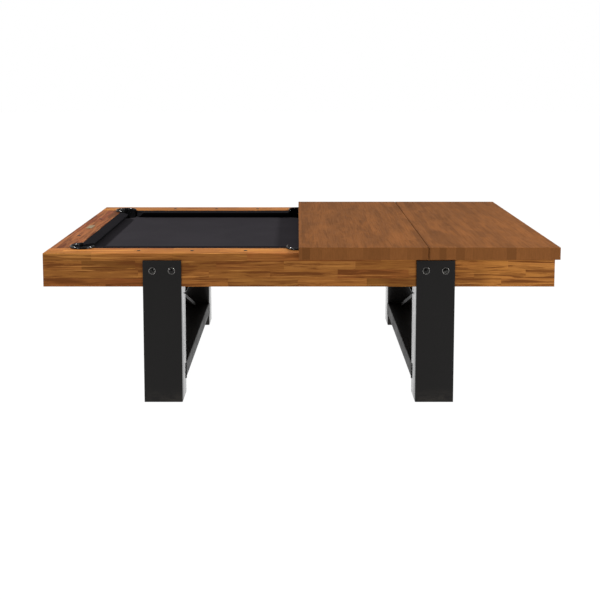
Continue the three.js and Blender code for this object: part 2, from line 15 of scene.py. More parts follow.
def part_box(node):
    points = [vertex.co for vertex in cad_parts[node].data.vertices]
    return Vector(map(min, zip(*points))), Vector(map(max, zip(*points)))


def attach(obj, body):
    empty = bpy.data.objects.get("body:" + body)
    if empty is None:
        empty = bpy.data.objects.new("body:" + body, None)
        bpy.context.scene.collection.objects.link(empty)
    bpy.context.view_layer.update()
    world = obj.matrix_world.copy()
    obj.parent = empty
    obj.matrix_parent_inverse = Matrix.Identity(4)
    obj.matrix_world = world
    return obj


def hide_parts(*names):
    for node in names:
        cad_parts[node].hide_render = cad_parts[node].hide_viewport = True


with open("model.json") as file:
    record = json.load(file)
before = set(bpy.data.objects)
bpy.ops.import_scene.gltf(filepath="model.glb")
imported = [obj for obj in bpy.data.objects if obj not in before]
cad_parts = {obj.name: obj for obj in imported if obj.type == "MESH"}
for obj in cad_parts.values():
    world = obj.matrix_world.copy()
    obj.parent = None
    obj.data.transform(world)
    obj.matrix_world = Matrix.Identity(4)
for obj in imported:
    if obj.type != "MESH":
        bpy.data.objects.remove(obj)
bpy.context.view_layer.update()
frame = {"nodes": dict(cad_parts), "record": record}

bl_info = {
    "name": "Pool Table",
    "version": (1, 0, 0),
    "blender": (4, 5, 0),
    "location": "View3D > Sidebar > Pool Table",
    "description": "Finishes the pieces of a pool table with a dining top",
    "category": "Object",
}

MM = 0.001
MERGE = 0.01 * MM  # points closer than this are one point
AIR = 0.3 * MM  # between two pieces that touch
FLAT_TURN = math.radians(1)  # faces that turn less than this are one flat face
EDGE_TURN = math.radians(32)  # edges sharper than this are eased
ROUND_STEPS = 4  # flats across a rounded edge

# ---- Places, from the frame ----------------------------------------------------------------

SIDES = {"front": -1, "rear": 1}
ENDS = {"left": -1, "right": 1}
QUARTERS = [f"{side}_{end}" for side in SIDES for end in ENDS]

RAIL_LOW, RAIL_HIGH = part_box("rail_rear")
MIDDLE_X = (RAIL_LOW.x + RAIL_HIGH.x) / 2
RAIL_TOP = RAIL_HIGH.z
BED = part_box("bed_cloth")[1].z
NOSE_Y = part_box("cushion_rear_right")[0].y
NOSE_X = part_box("cushion_right")[0].x - MIDDLE_X
WOOD_Y = RAIL_LOW.y
WOOD_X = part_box("rail_right")[0].x - MIDDLE_X
TABLE_X = RAIL_HIGH.x - MIDDLE_X
TABLE_Y = RAIL_HIGH.y
RAIL_WIDTH = TABLE_Y - WOOD_Y
BALL_ROOM = {o["name"]: o["box_m"] for o in frame["record"]["physics"]["openings"]}


def pocket_centre(name):
    """The middle of a pocket in plan."""
    low, high = BALL_ROOM[name]
    return Vector(((low[0] + high[0]) / 2, (low[1] + high[1]) / 2))


RIM_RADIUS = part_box("pocket_rear_right")[1].x - pocket_centre("pocket_rear_right").x


def linear(code):
    """A colour written as six hex digits, as the linear numbers that a shader takes."""
    channels = [int(code[i:i + 2], 16) / 255 for i in (0, 2, 4)]
    return [c / 12.92 if c <= 0.04045 else ((c + 0.055) / 1.055) ** 2.4 for c in channels]


def size(name, description, default, unit="LENGTH"):
    """A length that the sidebar shows."""
    return bpy.props.FloatProperty(
        name=name, description=description, default=default, min=0, precision=4, unit=unit
    )


def colour(name, description, code):
    """A colour that the sidebar shows."""
    return bpy.props.FloatVectorProperty(
        name=name, description=description, default=linear(code), size=3, min=0, max=1, subtype="COLOR"
    )


class PoolTableSizes(bpy.types.PropertyGroup):
    """Sizes of the finish, on top of the frame's own."""

    eased_wood: size("Eased wood", "Radius of the outer edges of the rails", 2 * MM)
    eased_joint: size("Eased joint", "Radius of the edges where boards meet", 0.5 * MM)
    eased_panel: size("Eased panel", "Radius of the edges of the dining panels", 1.2 * MM)
    seam: size("Seam", "Extra gap between the dining panels", 2.4 * MM)
    cushion_edge: size("Cushion edge", "Radius of a rail's edge beside the cushion", 4 * MM)
    eased_steel: size("Eased steel", "Radius of the edges of the steel plates", 1.2 * MM)
    tube_corner: size("Tube corner", "Radius of the long corners of the leg posts and beams", 5 * MM)
    stave_length: size("Stave length", "Mean length of a stave in the rails and aprons", 0.36)
    nose_radius: size("Nose radius", "Radius of a cushion's nose", 3.5 * MM)
    pocket_wall: size("Pocket wall", "Thickness of a pocket's wall", 4 * MM)
    pocket_rim: size("Pocket rim", "How far a pocket's rim reaches over the wood", 6 * MM)
    cloth_turn: size("Cloth turn-down", "How far the bed cloth turns down into a pocket", 9 * MM)
    sight_radius: size("Sight radius", "Radius of a sight", 10 * MM)
    sight_rise: size("Sight rise", "How far a sight stands over the rail", 2.9 * MM)
    weld_radius: size("Weld radius", "Radius of a weld bead", 3 * MM)
    thread_pitch: size("Thread pitch", "Rise of the leveller's thread in one turn", 1.75 * MM)


class PoolTableColours(bpy.types.PropertyGroup):
    """Main colours of the finish."""

    acacia: colour("Acacia", "Mean colour of the long rails and the aprons", "A26833")
    acacia_end: colour("Acacia at the ends", "Mean colour of the end rails", "7F4C2B")
    walnut: colour("Walnut stain", "Mean colour of the top of the dining panels", "734826")
    bed: colour("Bed cloth", "Colour of the bed cloth", "2E2C2F")
    cushion: colour("Cushion cloth", "Colour of the cloth on the cushions", "1C1B1D")
    steel: colour("Black steel", "Colour of the powder coat on the leg frames", "131110")
    plastic: colour("Pocket plastic", "Colour of the pockets", "0B0B0C")
    brass: colour("Brass", "Colour of the nameplate", "C9A868")


# ---- Node trees ----------------------------------------------------------------------------


class Wire:
    """A socket of a node tree. A sum on it adds Math nodes."""

    def __init__(self, tree, plug):
        self.tree = tree
        self.plug = plug

    def math(self, operation, *values):
        return self.tree.add("ShaderNodeMath", {"operation": operation}, dict(enumerate(values)))

    def __add__(self, other):
        return self.math("ADD", self, other)

    def __sub__(self, other):
        return self.math("SUBTRACT", self, other)

    def __rsub__(self, other):
        return self.math("SUBTRACT", other, self)

    def __mul__(self, other):
        return self.math("MULTIPLY", self, other)

    def __truediv__(self, other):
        return self.math("DIVIDE", self, other)

    __radd__ = __add__
    __rmul__ = __mul__

    def __abs__(self):
        return self.math("ABSOLUTE", self)

    def __floor__(self):
        return self.math("FLOOR", self)

    def fraction(self):
        return self.math("FRACT", self)

    def sign(self):
        return self.math("SIGN", self)

    def sine(self):
        return self.math("SINE", self)

    def power(self, exponent):
        return self.math("POWER", self, exponent)

    def least(self, other):
        return self.math("MINIMUM", self, other)

    def ramp(self, low, high, to_low=0.0, to_high=1.0):
        """Runs smoothly from to_low to to_high as the number goes from low to high."""
        sockets = {"Value": self, "From Min": low, "From Max": high, "To Min": to_low, "To Max": to_high}
        return self.tree.add("ShaderNodeMapRange", {"interpolation_type": "SMOOTHSTEP"}, sockets)


class Tree:
    """A node tree and the one way in which nodes are added to it."""

    def __init__(self, tree):
        self.tree = tree

    def add(self, kind, settings=None, sockets=None, output=0):
        node = self.tree.nodes.new(kind)
        for setting, value in (settings or {}).items():
            setattr(node, setting, value)
        for key, value in (sockets or {}).items():
            if isinstance(value, Wire):
                self.tree.links.new(value.plug, node.inputs[key])
            else:
                node.inputs[key].default_value = value
        return Wire(self, node.outputs[output]) if node.outputs else node

    # Shader trees

    def place(self):
        """Object coordinates."""
        return self.add("ShaderNodeTexCoord", output="Object")

    def parts(self, vector):
        """The three numbers of a vector."""
        split = self.add("ShaderNodeSeparateXYZ", sockets={0: vector}).plug.node
        return [Wire(self, plug) for plug in split.outputs]

    def vector(self, x, y, z):
        return self.add("ShaderNodeCombineXYZ", sockets={0: x, 1: y, 2: z})

    def noise(self, vector, detail=2.0, roughness=0.5, distortion=0.0, scale=1.0):
        sockets = {
            "Vector": vector,
            "Scale": scale,
            "Detail": detail,
            "Roughness": roughness,
            "Distortion": distortion,
        }
        return self.add("ShaderNodeTexNoise", sockets=sockets)

    def chance(self, number):
        """A random number from 0 to 1 that a number picks."""
        return self.add("ShaderNodeTexWhiteNoise", {"noise_dimensions": "1D"}, {"W": number})

    def mix(self, factor, first, second):
        """Two colours mixed by a number."""
        return self.add("ShaderNodeMix", {"data_type": "RGBA"}, {0: factor, 6: first, 7: second}, 2)

    def bump(self, height, distance, strength=1.0):
        sockets = {"Strength": strength, "Distance": distance, "Height": height}
        return self.add("ShaderNodeBump", sockets=sockets)

    def surface(self, **sockets):
        """The shader and its output; a socket's name is written with _ for each space."""
        values = {key.replace("_", " "): value for key, value in sockets.items()}
        shader = self.add("ShaderNodeBsdfPrincipled", sockets=values)
        self.add("ShaderNodeOutputMaterial", sockets={"Surface": shader})


def opaque(rgb, share=1.0):
    """A linear colour times a share, with full alpha."""
    return [min(1.0, channel * share) for channel in rgb[:3]] + [1.0]


def tinted(rgb, shares):
    """A linear colour with each channel times its own share, with full alpha."""
    return [min(1.0, channel * share) for channel, share in zip(rgb, shares)] + [1.0]


def new_material(name):
    """An empty material and its tree."""
    material = bpy.data.materials.new(name)
    material.use_nodes = True
    material.node_tree.nodes.clear()
    return material, Tree(material.node_tree)


# ---- Woods ---------------------------------------------------------------------------------

WOOD_SHINE = 0.02
LAMELLA = 0.044  # mean width of a lamella in the dining panels
STAVE_JOINT = 0.5 * MM
FACE_SLACK = 2 * MM  # outer faces lie this far inside the outer rows of staves


def rows(value, low, high, count):
    """Numbers the rows of staves between two faces of a board."""
    return (value - (low - FACE_SLACK)) * (count / (high - low + 2 * FACE_SLACK))


def cells(tree, number, randomness):
    """Cells of uneven length along a number: two random numbers for each, and the way to its end."""
    sockets = {"W": number, "Scale": 1.0, "Randomness": randomness}
    tints = tree.add("ShaderNodeTexVoronoi", {"voronoi_dimensions": "1D"}, sockets, "Color")
    settings = {"voronoi_dimensions": "1D", "feature": "DISTANCE_TO_EDGE"}
    first, second = tree.parts(tints)[:2]
    return first, second, tree.add("ShaderNodeTexVoronoi", settings, sockets)


def grain(tree, along, across, up, pick):
    """Figure and fibre of wood that runs along a board: two numbers from 0 to 1."""
    shift = pick * 37.0
    figure = tree.vector(along * 2.6 + shift, across * 46.0 + shift, up * 46.0)
    bands = tree.noise(figure, detail=6.0, roughness=0.62, distortion=1.1)
    fibre = tree.noise(tree.vector(along * 7.0, across * 210.0, up * 210.0), detail=5.0, roughness=0.75)
    return bands, fibre


def acacia(name, wanted, run, depth, height, stave_length, contrast, pale=0.0):
    """Staves glued side by side and end to end along X or Y.

    depth and height are (low, high, rows) across the board, from the middle of the table, and up it.
    contrast is how much the staves and their figure differ, and pale how much painted light from
    the right lightens them at the far right end.
    """
    material, tree = new_material(name)
    x, y, z = tree.parts(tree.place())
    along, across = (x, y) if run == "X" else (y, x - MIDDLE_X)
    deep = rows(abs(across), *depth)
    high = rows(z, *height)
    row = math.floor(deep) * 3.0 + math.floor(high) * 7.0 + across.sign() * 11.0
    start = along / stave_length + tree.chance(row) * 29.0
    tone, hue, to_end = cells(tree, start, 0.9)
    to_row = (0.5 - abs(high.fraction() - 0.5)) * ((height[1] - height[0]) / height[2])
    joint = (to_end * stave_length).least(to_row).ramp(0.0, STAVE_JOINT, 1.0, 0.0)

    bands, fibre = grain(tree, along, across, z, tone + row)
    cloud = tree.noise(tree.vector(along * 5.0, across * 13.0 + row, z * 13.0), detail=3.0, distortion=0.5)
    lines = tree.vector(along * 2.2 + row, across * 105.0, z * 105.0)
    streak = tree.noise(lines, detail=2.0, distortion=0.6)
    base = tree.mix(tone, opaque(wanted, 1 - 0.26 * contrast), opaque(wanted, 1 + 0.24 * contrast))
    # Painted light: the staves turn lighter towards the far right end, as if lit from the right.
    base = tree.mix(along.ramp(0.9, 1.0) * pale, base, tinted(wanted, (1.8, 1.9, 1.8)))
    base = tree.mix(hue.ramp(0.5, 0.95) * (0.55 * contrast), base, tinted(wanted, (0.82, 0.62, 0.75)))
    base = tree.mix(hue.ramp(0.06, 0.16, 1.0, 0.0) * 0.55, base, tinted(wanted, (1.5, 1.62, 1.7)))
    base = tree.mix(cloud.ramp(0.4, 0.75) * 0.35, base, tinted(wanted, (1.1, 1.2, 1.0)))
    base = tree.mix(bands.ramp(0.49, 0.6) * (0.6 * contrast), base, tinted(wanted, (0.5, 0.42, 0.45)))
    base = tree.mix(bands.ramp(0.32, 0.44, 1.0, 0.0) * 0.75, base, tinted(wanted, (1.5, 1.62, 1.5)))
    base = tree.mix(streak.ramp(0.62, 0.68) * 0.8, base, tinted(wanted, (1.85, 2.1, 2.2)))
    base = tree.mix(fibre.ramp(0.46, 0.6) * 0.34, base, tinted(wanted, (0.45, 0.38, 0.4)))
    base = tree.mix(joint * 0.3, base, tinted(wanted, (0.35, 0.3, 0.3)))
    tree.surface(
        Base_Color=base,
        Roughness=fibre.ramp(0.2, 0.8, 0.36, 0.48) + bands * 0.06,
        Normal=tree.bump(fibre * 0.35 + bands * 0.25 - joint, 0.1 * MM, 0.5),
        Specular_IOR_Level=WOOD_SHINE,
    )
    return material


def walnut(name, wanted):
    """Narrow lamellas that run from front to rear, stained brown, with their ends at the front."""
    material, tree = new_material(name)
    place = tree.place()
    x, y, z = tree.parts(place)
    tone, hue, to_side = cells(tree, x / LAMELLA + 3.7, 0.85)
    joint = (to_side * LAMELLA).ramp(0.0, 0.7 * MM, 1.0, 0.0)
    tone = tone * 0.5 + cells(tree, y / 0.5 + tone * 17.0, 0.9)[0] * 0.5
    facing = tree.add("ShaderNodeTexCoord", output="Normal")
    end_grain = abs(tree.parts(facing)[1]).ramp(0.75, 0.95)

    bands, fibre = grain(tree, y, x, z, tone)
    mottle = tree.noise(tree.vector(x * 9.0, y * 3.0, z * 9.0), detail=5.0, roughness=0.6, distortion=0.6)
    base = tree.mix(tone, opaque(wanted, 0.8), opaque(wanted, 1.16))
    base = tree.mix(mottle.ramp(0.44, 0.66) * 0.5, base, tinted(wanted, (1.4, 1.34, 1.2)))
    base = tree.mix(mottle.ramp(0.3, 0.46, 1.0, 0.0) * 0.4, base, opaque(wanted, 0.66))
    base = tree.mix(bands.ramp(0.48, 0.62) * 0.45, base, opaque(wanted, 0.52))
    base = tree.mix(fibre.ramp(0.45, 0.62) * 0.16, base, opaque(wanted, 0.45))
    base = tree.mix(joint * 0.22, base, opaque(wanted, 0.35))
    rings = tree.noise(tree.vector(x * 190.0, y * 20.0, z * 34.0 + hue * 50.0), detail=4.0, roughness=0.6)
    ends = tree.mix(tone, opaque(wanted, 1.1), opaque(wanted, 1.9))
    ends = tree.mix(rings.ramp(0.35, 0.7) * 0.4, ends, opaque(wanted, 1.05))
    ends = tree.mix(joint * 0.5, ends, opaque(wanted, 0.6))
    tree.surface(
        Base_Color=tree.mix(end_grain, base, ends),
        Roughness=fibre.ramp(0.2, 0.8, 0.5, 0.62),
        Normal=tree.bump(fibre * 0.4 + bands * 0.2 - joint * 0.6, 0.1 * MM, 0.45),
        Specular_IOR_Level=WOOD_SHINE,
    )
    return material


def softwood(name, run):
    """Planed pine for the frame under the slates, with rings and a few knots."""
    material, tree = new_material(name)
    x, y, z = tree.parts(tree.place())
    along, across = (x, y) if run == "X" else (y, x)
    bands, fibre = grain(tree, along, across, z, along * 0.0 + 0.4)
    rings = ((bands * 9.0 + across * 60.0).sine() * 0.5 + 0.5).power(2.0)
    base = tree.mix(rings * 0.55, opaque(linear("C6A06C")), opaque(linear("9A6B3A")))
    spots = {"Vector": tree.vector(along * 3.1, across * 9.0, z * 9.0), "Scale": 1.0, "Randomness": 1.0}
    knot = tree.add("ShaderNodeTexVoronoi", sockets=spots).ramp(0.04, 0.16, 1.0, 0.0)
    base = tree.mix(knot * 0.8, base, opaque(linear("5A3418")))
    base = tree.mix(fibre.ramp(0.4, 0.7) * 0.25, base, opaque(linear("7C5830")))
    tree.surface(
        Base_Color=base,
        Roughness=fibre.ramp(0.2, 0.8, 0.6, 0.8),
        Normal=tree.bump(fibre + rings * 0.4, 0.15 * MM, 0.5),
    )
    return material


# ---- Cloths --------------------------------------------------------------------------------


def woven(name, rgb, thread, from_map):
    """Worsted cloth: threads over and under each other, and a faint nap."""
    material, tree = new_material(name)
    place = tree.place()
    chart = tree.add("ShaderNodeTexCoord", output="UV") if from_map else place
    u, v = tree.parts(chart)[:2]
    turn = 2 * math.pi / thread
    weave = (u * turn).sine() * (v * turn).sine()
    fuzz = tree.noise(place, detail=4.0, roughness=0.7, scale=900.0)
    wear = tree.noise(place, detail=5.0, roughness=0.55, distortion=0.3, scale=3.2)
    base = tree.mix(weave.ramp(-1.0, 1.0) * 0.5, opaque(rgb, 0.88), opaque(rgb, 1.12))
    base = tree.mix(wear.ramp(0.35, 0.7) * 0.3, base, opaque(rgb, 1.3))
    base = tree.mix(fuzz.ramp(0.45, 0.8) * 0.35, base, opaque(rgb, 1.5))
    tree.surface(
        Base_Color=base,
        Roughness=fuzz.ramp(0.2, 0.8, 0.82, 0.95),
        Normal=tree.bump(weave * 0.5 + fuzz, 0.06 * MM, 0.4),
        Specular_IOR_Level=0.0,
    )
    return material


def felted(name, rgb):
    """Pressed felt: tangled fibres without a weave."""
    material, tree = new_material(name)
    place = tree.place()
    fibres = tree.noise(place, detail=6.0, roughness=0.75, distortion=1.8, scale=420.0)
    clumps = tree.noise(place, detail=3.0, roughness=0.6, scale=60.0)
    base = tree.mix(fibres.ramp(0.3, 0.7), opaque(rgb, 0.7), opaque(rgb, 1.5))
    base = tree.mix(clumps.ramp(0.4, 0.7) * 0.3, base, opaque(rgb, 0.6))
    tree.surface(
        Base_Color=base,
        Roughness=fibres.ramp(0.2, 0.8, 0.88, 1.0),
        Normal=tree.bump(fibres + clumps, 0.3 * MM, 0.6),
        Sheen_Weight=0.1,
        Specular_IOR_Level=0.05,
    )
    return material


# ---- Steel, plastic, stone and brass ---------------------------------------------------------


def powder_coat(name, rgb, gloss):
    """Satin black powder coat: an orange-peel skin, faint scuffs and dust near the floor."""
    material, tree = new_material(name)
    place = tree.place()
    peel = tree.noise(place, detail=2.0, roughness=0.5, scale=650.0)
    scuff = tree.noise(tree.vector(*[p * s for p, s in zip(tree.parts(place), (9.0, 9.0, 30.0))]),
                       detail=6.0, roughness=0.7, distortion=0.6)
    low = tree.parts(place)[2].ramp(0.0, 0.09, 1.0, 0.0)
    base = tree.mix(scuff.ramp(0.5, 0.78) * 0.35, opaque(rgb), opaque(rgb, 1.5))
    base = tree.mix(low * scuff.ramp(0.35, 0.7) * 0.25, base, opaque(linear("5A534A")))
    tree.surface(
        Base_Color=base,
        Roughness=scuff.ramp(0.3, 0.75, 0.36, 0.5) + peel * 0.05,
        Normal=tree.bump(peel, 0.05 * MM, 0.25),
        Specular_IOR_Level=0.08,
        Coat_Weight=gloss,
        Coat_IOR=1.2,
        Coat_Roughness=0.14,
    )
    return material


def bolt_finish(name, rgb):
    """Blackened steel that is polished where a tool turned it."""
    material, tree = new_material(name)
    place = tree.place()
    turned = tree.noise(place, detail=5.0, roughness=0.6, scale=240.0)
    worn = tree.noise(place, detail=3.0, roughness=0.6, scale=70.0).ramp(0.5, 0.72)
    base = tree.mix(worn * 0.5, opaque(rgb), opaque(linear("6A6865")))
    tree.surface(
        Base_Color=base,
        Metallic=0.8,
        Roughness=turned.ramp(0.3, 0.7, 0.2, 0.34),
        Normal=tree.bump(turned, 0.05 * MM, 0.3),
    )
    return material


def moulded(name, rgb):
    """Glossy moulded plastic, with fine flow marks and a little dust."""
    material, tree = new_material(name)
    place = tree.place()
    flow = tree.noise(place, detail=3.0, roughness=0.5, distortion=0.5, scale=26.0)
    fine = tree.noise(place, detail=4.0, roughness=0.7, scale=700.0)
    base = tree.mix(fine.ramp(0.5, 0.85) * 0.4, opaque(rgb), opaque(rgb, 2.2))
    tree.surface(
        Base_Color=base,
        Roughness=flow.ramp(0.35, 0.65, 0.16, 0.28) + fine * 0.05,
        Normal=tree.bump(flow * 2.0 + fine * 0.4, 0.06 * MM, 0.3),
    )
    return material


def stone(name):
    """Honed slate with faint cleavage and pale veins."""
    material, tree = new_material(name)
    place = tree.place()
    x, y, z = tree.parts(place)
    cloud = tree.noise(place, detail=7.0, roughness=0.65, distortion=0.7, scale=5.0)
    layers = tree.noise(tree.vector(x * 4.0, y * 4.0, z * 420.0), detail=5.0, roughness=0.7)
    vein = abs(tree.noise(place, detail=5.0, distortion=2.0, scale=1.7) - 0.5).ramp(0.0, 0.012, 1.0, 0.0)
    base = tree.mix(cloud, opaque(linear("3F4447")), opaque(linear("666B6E")))
    base = tree.mix(layers.ramp(0.45, 0.7) * 0.35, base, opaque(linear("33383A")))
    base = tree.mix(vein * 0.3, base, opaque(linear("9A9C9A")))
    tree.surface(
        Base_Color=base,
        Roughness=cloud.ramp(0.2, 0.8, 0.6, 0.85),
        Normal=tree.bump(cloud + layers, 0.3 * MM, 0.5),
    )
    return material


def metal(name, rgb, smooth, rough):
    """Bare metal, brushed along Y."""
    material, tree = new_material(name)
    x, y, z = tree.parts(tree.place())
    brushed = tree.noise(tree.vector(x * 2600.0, y * 40.0, z * 2600.0), detail=3.0, roughness=0.6)
    cast = tree.noise(tree.vector(x * 30.0, y * 30.0, z * 30.0), detail=4.0, roughness=0.6)
    base = tree.mix(cast.ramp(0.4, 0.75) * 0.4, opaque(rgb), opaque(rgb, 0.7))
    tree.surface(
        Base_Color=base,
        Metallic=1.0,
        Roughness=brushed.ramp(0.25, 0.75, smooth, rough),
        Normal=tree.bump(brushed, 0.03 * MM, 0.3),
    )
    return material


# ---- Pieces --------------------------------------------------------------------------------


def new_piece(name, mesh, material, smooth=True):
    """An object at the origin with one material."""
    piece = bpy.data.objects.new(name, mesh)
    bpy.context.scene.collection.objects.link(piece)
    mesh.materials.clear()
    mesh.materials.append(material)
    mesh.polygons.foreach_set("use_smooth", [smooth] * len(mesh.polygons))
    return piece


def finished(piece, body, slot, *nodes):
    """The piece rides on a body and stands for CAD nodes, which are hidden. slot is not used."""
    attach(piece, body)
    if nodes:
        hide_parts(*nodes)
    return piece


def mesh_from(name, shape):
    """A plain mesh from a bmesh, which is freed."""
    shape.verts.index_update()
    points = [vert.co.copy() for vert in shape.verts]
    faces = [[vert.index for vert in face.verts] for face in shape.faces]
    shape.free()
    mesh = bpy.data.meshes.new(name)
    mesh.from_pydata(points, [], faces)
    return mesh


def node_shape(node):
    """A CAD node's shape as a bmesh, with its doubles merged and its flat faces whole."""
    shape = bmesh.new()
    shape.from_mesh(frame["nodes"][node].data)
    bmesh.ops.remove_doubles(shape, verts=shape.verts, dist=MERGE)
    bmesh.ops.dissolve_limit(
        shape, angle_limit=FLAT_TURN, verts=shape.verts, edges=shape.edges, use_dissolve_boundaries=False
    )
    return shape


def ease(piece, radius, segments=3, turn=EDGE_TURN):
    """Rounds every sharp edge of a piece."""
    bevel = piece.modifiers.new("eased edges", "BEVEL")
    bevel.width = radius
    bevel.segments = segments
    bevel.limit_method = "ANGLE"
    bevel.angle_limit = turn
    bevel.harden_normals = True
    bevel.use_clamp_overlap = True
    return piece


def runs_along(edge, axis):
    """Whether an edge is straight along an axis."""
    run = edge.verts[0].co - edge.verts[1].co
    return abs(run[axis]) > 0.999 * run.length


def round_edges(shape, edges, radius):
    """Rounds some edges of a shape."""
    sharp = [e for e in edges if len(e.link_faces) == 2 and e.calc_face_angle(0) > EDGE_TURN]
    bmesh.ops.bevel(
        shape, geom=sharp, offset=radius, offset_type="OFFSET", segments=ROUND_STEPS, profile=0.5,
        affect="EDGES", clamp_overlap=True,
    )


def round_long_edges(shape, axis, shortest, radius):
    """Rounds the edges that run along an axis and are at least so long."""
    long_edges = [e for e in shape.edges if runs_along(e, axis) and e.calc_length() >= shortest]
    round_edges(shape, long_edges, radius)


def eased_piece(name, shape, material, radius, body, slot, node, segments=3, turn=EDGE_TURN):
    """A shape with eased edges as a piece that stands for a CAD node."""
    piece = new_piece(name, mesh_from(name, shape), material)
    ease(piece, radius, segments, turn)
    return finished(piece, body, slot, node)


def eased_copy(node, material, radius, body, slot):
    """A CAD node's own shape with eased edges, in its place."""
    return eased_piece(f"{node}_finished", node_shape(node), material, radius, body, slot, node)


def revolved(shape, outline, centre, steps, start=0.0, sweep=2 * math.pi):
    """Turns a closed outline of (radius, z) points about an upright axis, all round or part way."""
    whole = sweep > 2 * math.pi - 1e-6
    rings = []
    for i in range(steps if whole else steps + 1):
        angle = start + sweep * i / steps
        ring = []
        for radius, z in outline:
            spot = Vector((centre.x + radius * math.cos(angle), centre.y + radius * math.sin(angle), z))
            ring.append(shape.verts.new(spot))
        rings.append(ring)
    pairs = list(zip(rings, rings[1:] + rings[:1])) if whole else list(zip(rings, rings[1:]))
    count = len(outline)
    for ring, following in pairs:
        for k in range(count):
            after = (k + 1) % count
            shape.faces.new((ring[k], following[k], following[after], ring[after]))
    if not whole:
        shape.faces.new(rings[0][::-1])
        shape.faces.new(rings[-1])


def closed(shape):
    """Merges doubles, drops faces that collapsed and turns every face outwards."""
    bmesh.ops.remove_doubles(shape, verts=shape.verts, dist=MERGE)
    bmesh.ops.dissolve_degenerate(shape, edges=shape.edges, dist=MERGE)
    bmesh.ops.recalc_face_normals(shape, faces=shape.faces)
    return shape


def arc(centre, radii, start, end, steps):
    """Points on an arc of an ellipse, in degrees, both ends included."""
    points = []
    for i in range(steps + 1):
        angle = math.radians(start + (end - start) * i / steps)
        points.append((centre[0] + radii[0] * math.cos(angle), centre[1] + radii[1] * math.sin(angle)))
    return points


# ---- Geometry Nodes --------------------------------------------------------------------------


def geometry_tree(name, inputs):
    """A geometry tree with named inputs, as the tree and a wire for each input."""
    group = bpy.data.node_groups.new(name, "GeometryNodeTree")
    group.interface.new_socket("Geometry", in_out="OUTPUT", socket_type="NodeSocketGeometry")
    group.interface.new_socket("Geometry", in_out="INPUT", socket_type="NodeSocketGeometry")
    for label, kind in inputs.items():
        group.interface.new_socket(label, in_out="INPUT", socket_type=f"NodeSocket{kind}")
    tree = Tree(group)
    start = group.nodes.new("NodeGroupInput")
    return tree, {plug.name: Wire(tree, plug) for plug in start.outputs if plug.name}


def end_tree(tree, geometry, material):
    """Makes copies real, gives them their material and hands them out."""
    real = tree.add("GeometryNodeRealizeInstances", sockets={0: geometry})
    painted = tree.add("GeometryNodeSetMaterial", sockets={"Geometry": real, "Material": material})
    tree.add("NodeGroupOutput", sockets={0: painted})


def grown(name, tree, values, base=None):
    """The mesh that a geometry tree makes from a base mesh, as a plain object."""
    piece = bpy.data.objects.new(name, base or bpy.data.meshes.new(name))
    bpy.context.scene.collection.objects.link(piece)
    modifier = piece.modifiers.new("growth", "NODES")
    modifier.node_group = tree.tree
    for item in tree.tree.interface.items_tree:
        if item.name in values:
            modifier[item.identifier] = values[item.name]
    bpy.context.view_layer.update()
    evaluated = piece.evaluated_get(bpy.context.evaluated_depsgraph_get())
    mesh = bpy.data.meshes.new_from_object(evaluated)
    mesh.name = name
    piece.modifiers.remove(modifier)
    piece.data = mesh
    return piece


def points_mesh(name, points):
    """A mesh of loose points, for copies to stand on."""
    mesh = bpy.data.meshes.new(name)
    mesh.from_pydata([tuple(point) for point in points], [], [])
    return mesh


def dome_tree(material):
    """A shallow dome on every point, half sunk in the wood."""
    tree, given = geometry_tree("domes", {"Radius": "Float", "Rise": "Float", "Steps": "Int"})
    ball = tree.add(
        "GeometryNodeMeshUVSphere", sockets={"Segments": given["Steps"], "Rings": 16, "Radius": 1.0}
    )
    flat = tree.vector(given["Radius"], given["Radius"], given["Rise"])
    dome = tree.add("GeometryNodeTransform", sockets={"Geometry": ball, "Scale": flat})
    smooth = tree.add("GeometryNodeSetShadeSmooth", sockets={"Geometry": dome})
    sockets = {"Points": given["Geometry"], "Instance": smooth}
    end_tree(tree, tree.add("GeometryNodeInstanceOnPoints", sockets=sockets), material)
    return tree


def ring_tree(material):
    """A round ring about +Y on every point."""
    tree, given = geometry_tree("rings", {"Radius": "Float", "Thickness": "Float"})
    path = tree.add(
        "GeometryNodeCurvePrimitiveCircle", sockets={"Resolution": 40, "Radius": given["Radius"]}
    )
    section = tree.add(
        "GeometryNodeCurvePrimitiveCircle", sockets={"Resolution": 10, "Radius": given["Thickness"]}
    )
    ring = tree.add("GeometryNodeCurveToMesh", sockets={"Curve": path, "Profile Curve": section})
    smooth = tree.add("GeometryNodeSetShadeSmooth", sockets={"Geometry": ring})
    sockets = {"Points": given["Geometry"], "Instance": smooth, "Rotation": (math.pi / 2, 0, 0)}
    end_tree(tree, tree.add("GeometryNodeInstanceOnPoints", sockets=sockets), material)
    return tree


def bead_tree(material):
    """A weld bead along every edge of the base mesh, with the ripples of its passes."""
    tree, given = geometry_tree("weld beads", {"Radius": "Float", "Step": "Float", "Ripple": "Float"})
    path = tree.add("GeometryNodeMeshToCurve", sockets={0: given["Geometry"]})
    steps = {"Curve": path, "Length": given["Step"]}
    fine = tree.add("GeometryNodeResampleCurve", {"mode": "LENGTH"}, steps)
    number = tree.add("GeometryNodeInputIndex")
    pass_wave = abs((number * 0.9).sine()) * given["Ripple"] + (1.0 - given["Ripple"])
    uneven = tree.noise(tree.add("GeometryNodeInputPosition"), detail=2.0, scale=120.0) * 0.5 + 0.75
    ring = tree.add(
        "GeometryNodeCurvePrimitiveCircle", sockets={"Resolution": 8, "Radius": given["Radius"]}
    )
    sockets = {"Curve": fine, "Profile Curve": ring, "Scale": pass_wave * uneven, "Fill Caps": True}
    bead = tree.add("GeometryNodeCurveToMesh", sockets=sockets)
    smooth = tree.add("GeometryNodeSetShadeSmooth", sockets={"Geometry": bead})
    end_tree(tree, smooth, material)
    return tree


THREAD_DEPTH = 0.4  # share of the pitch


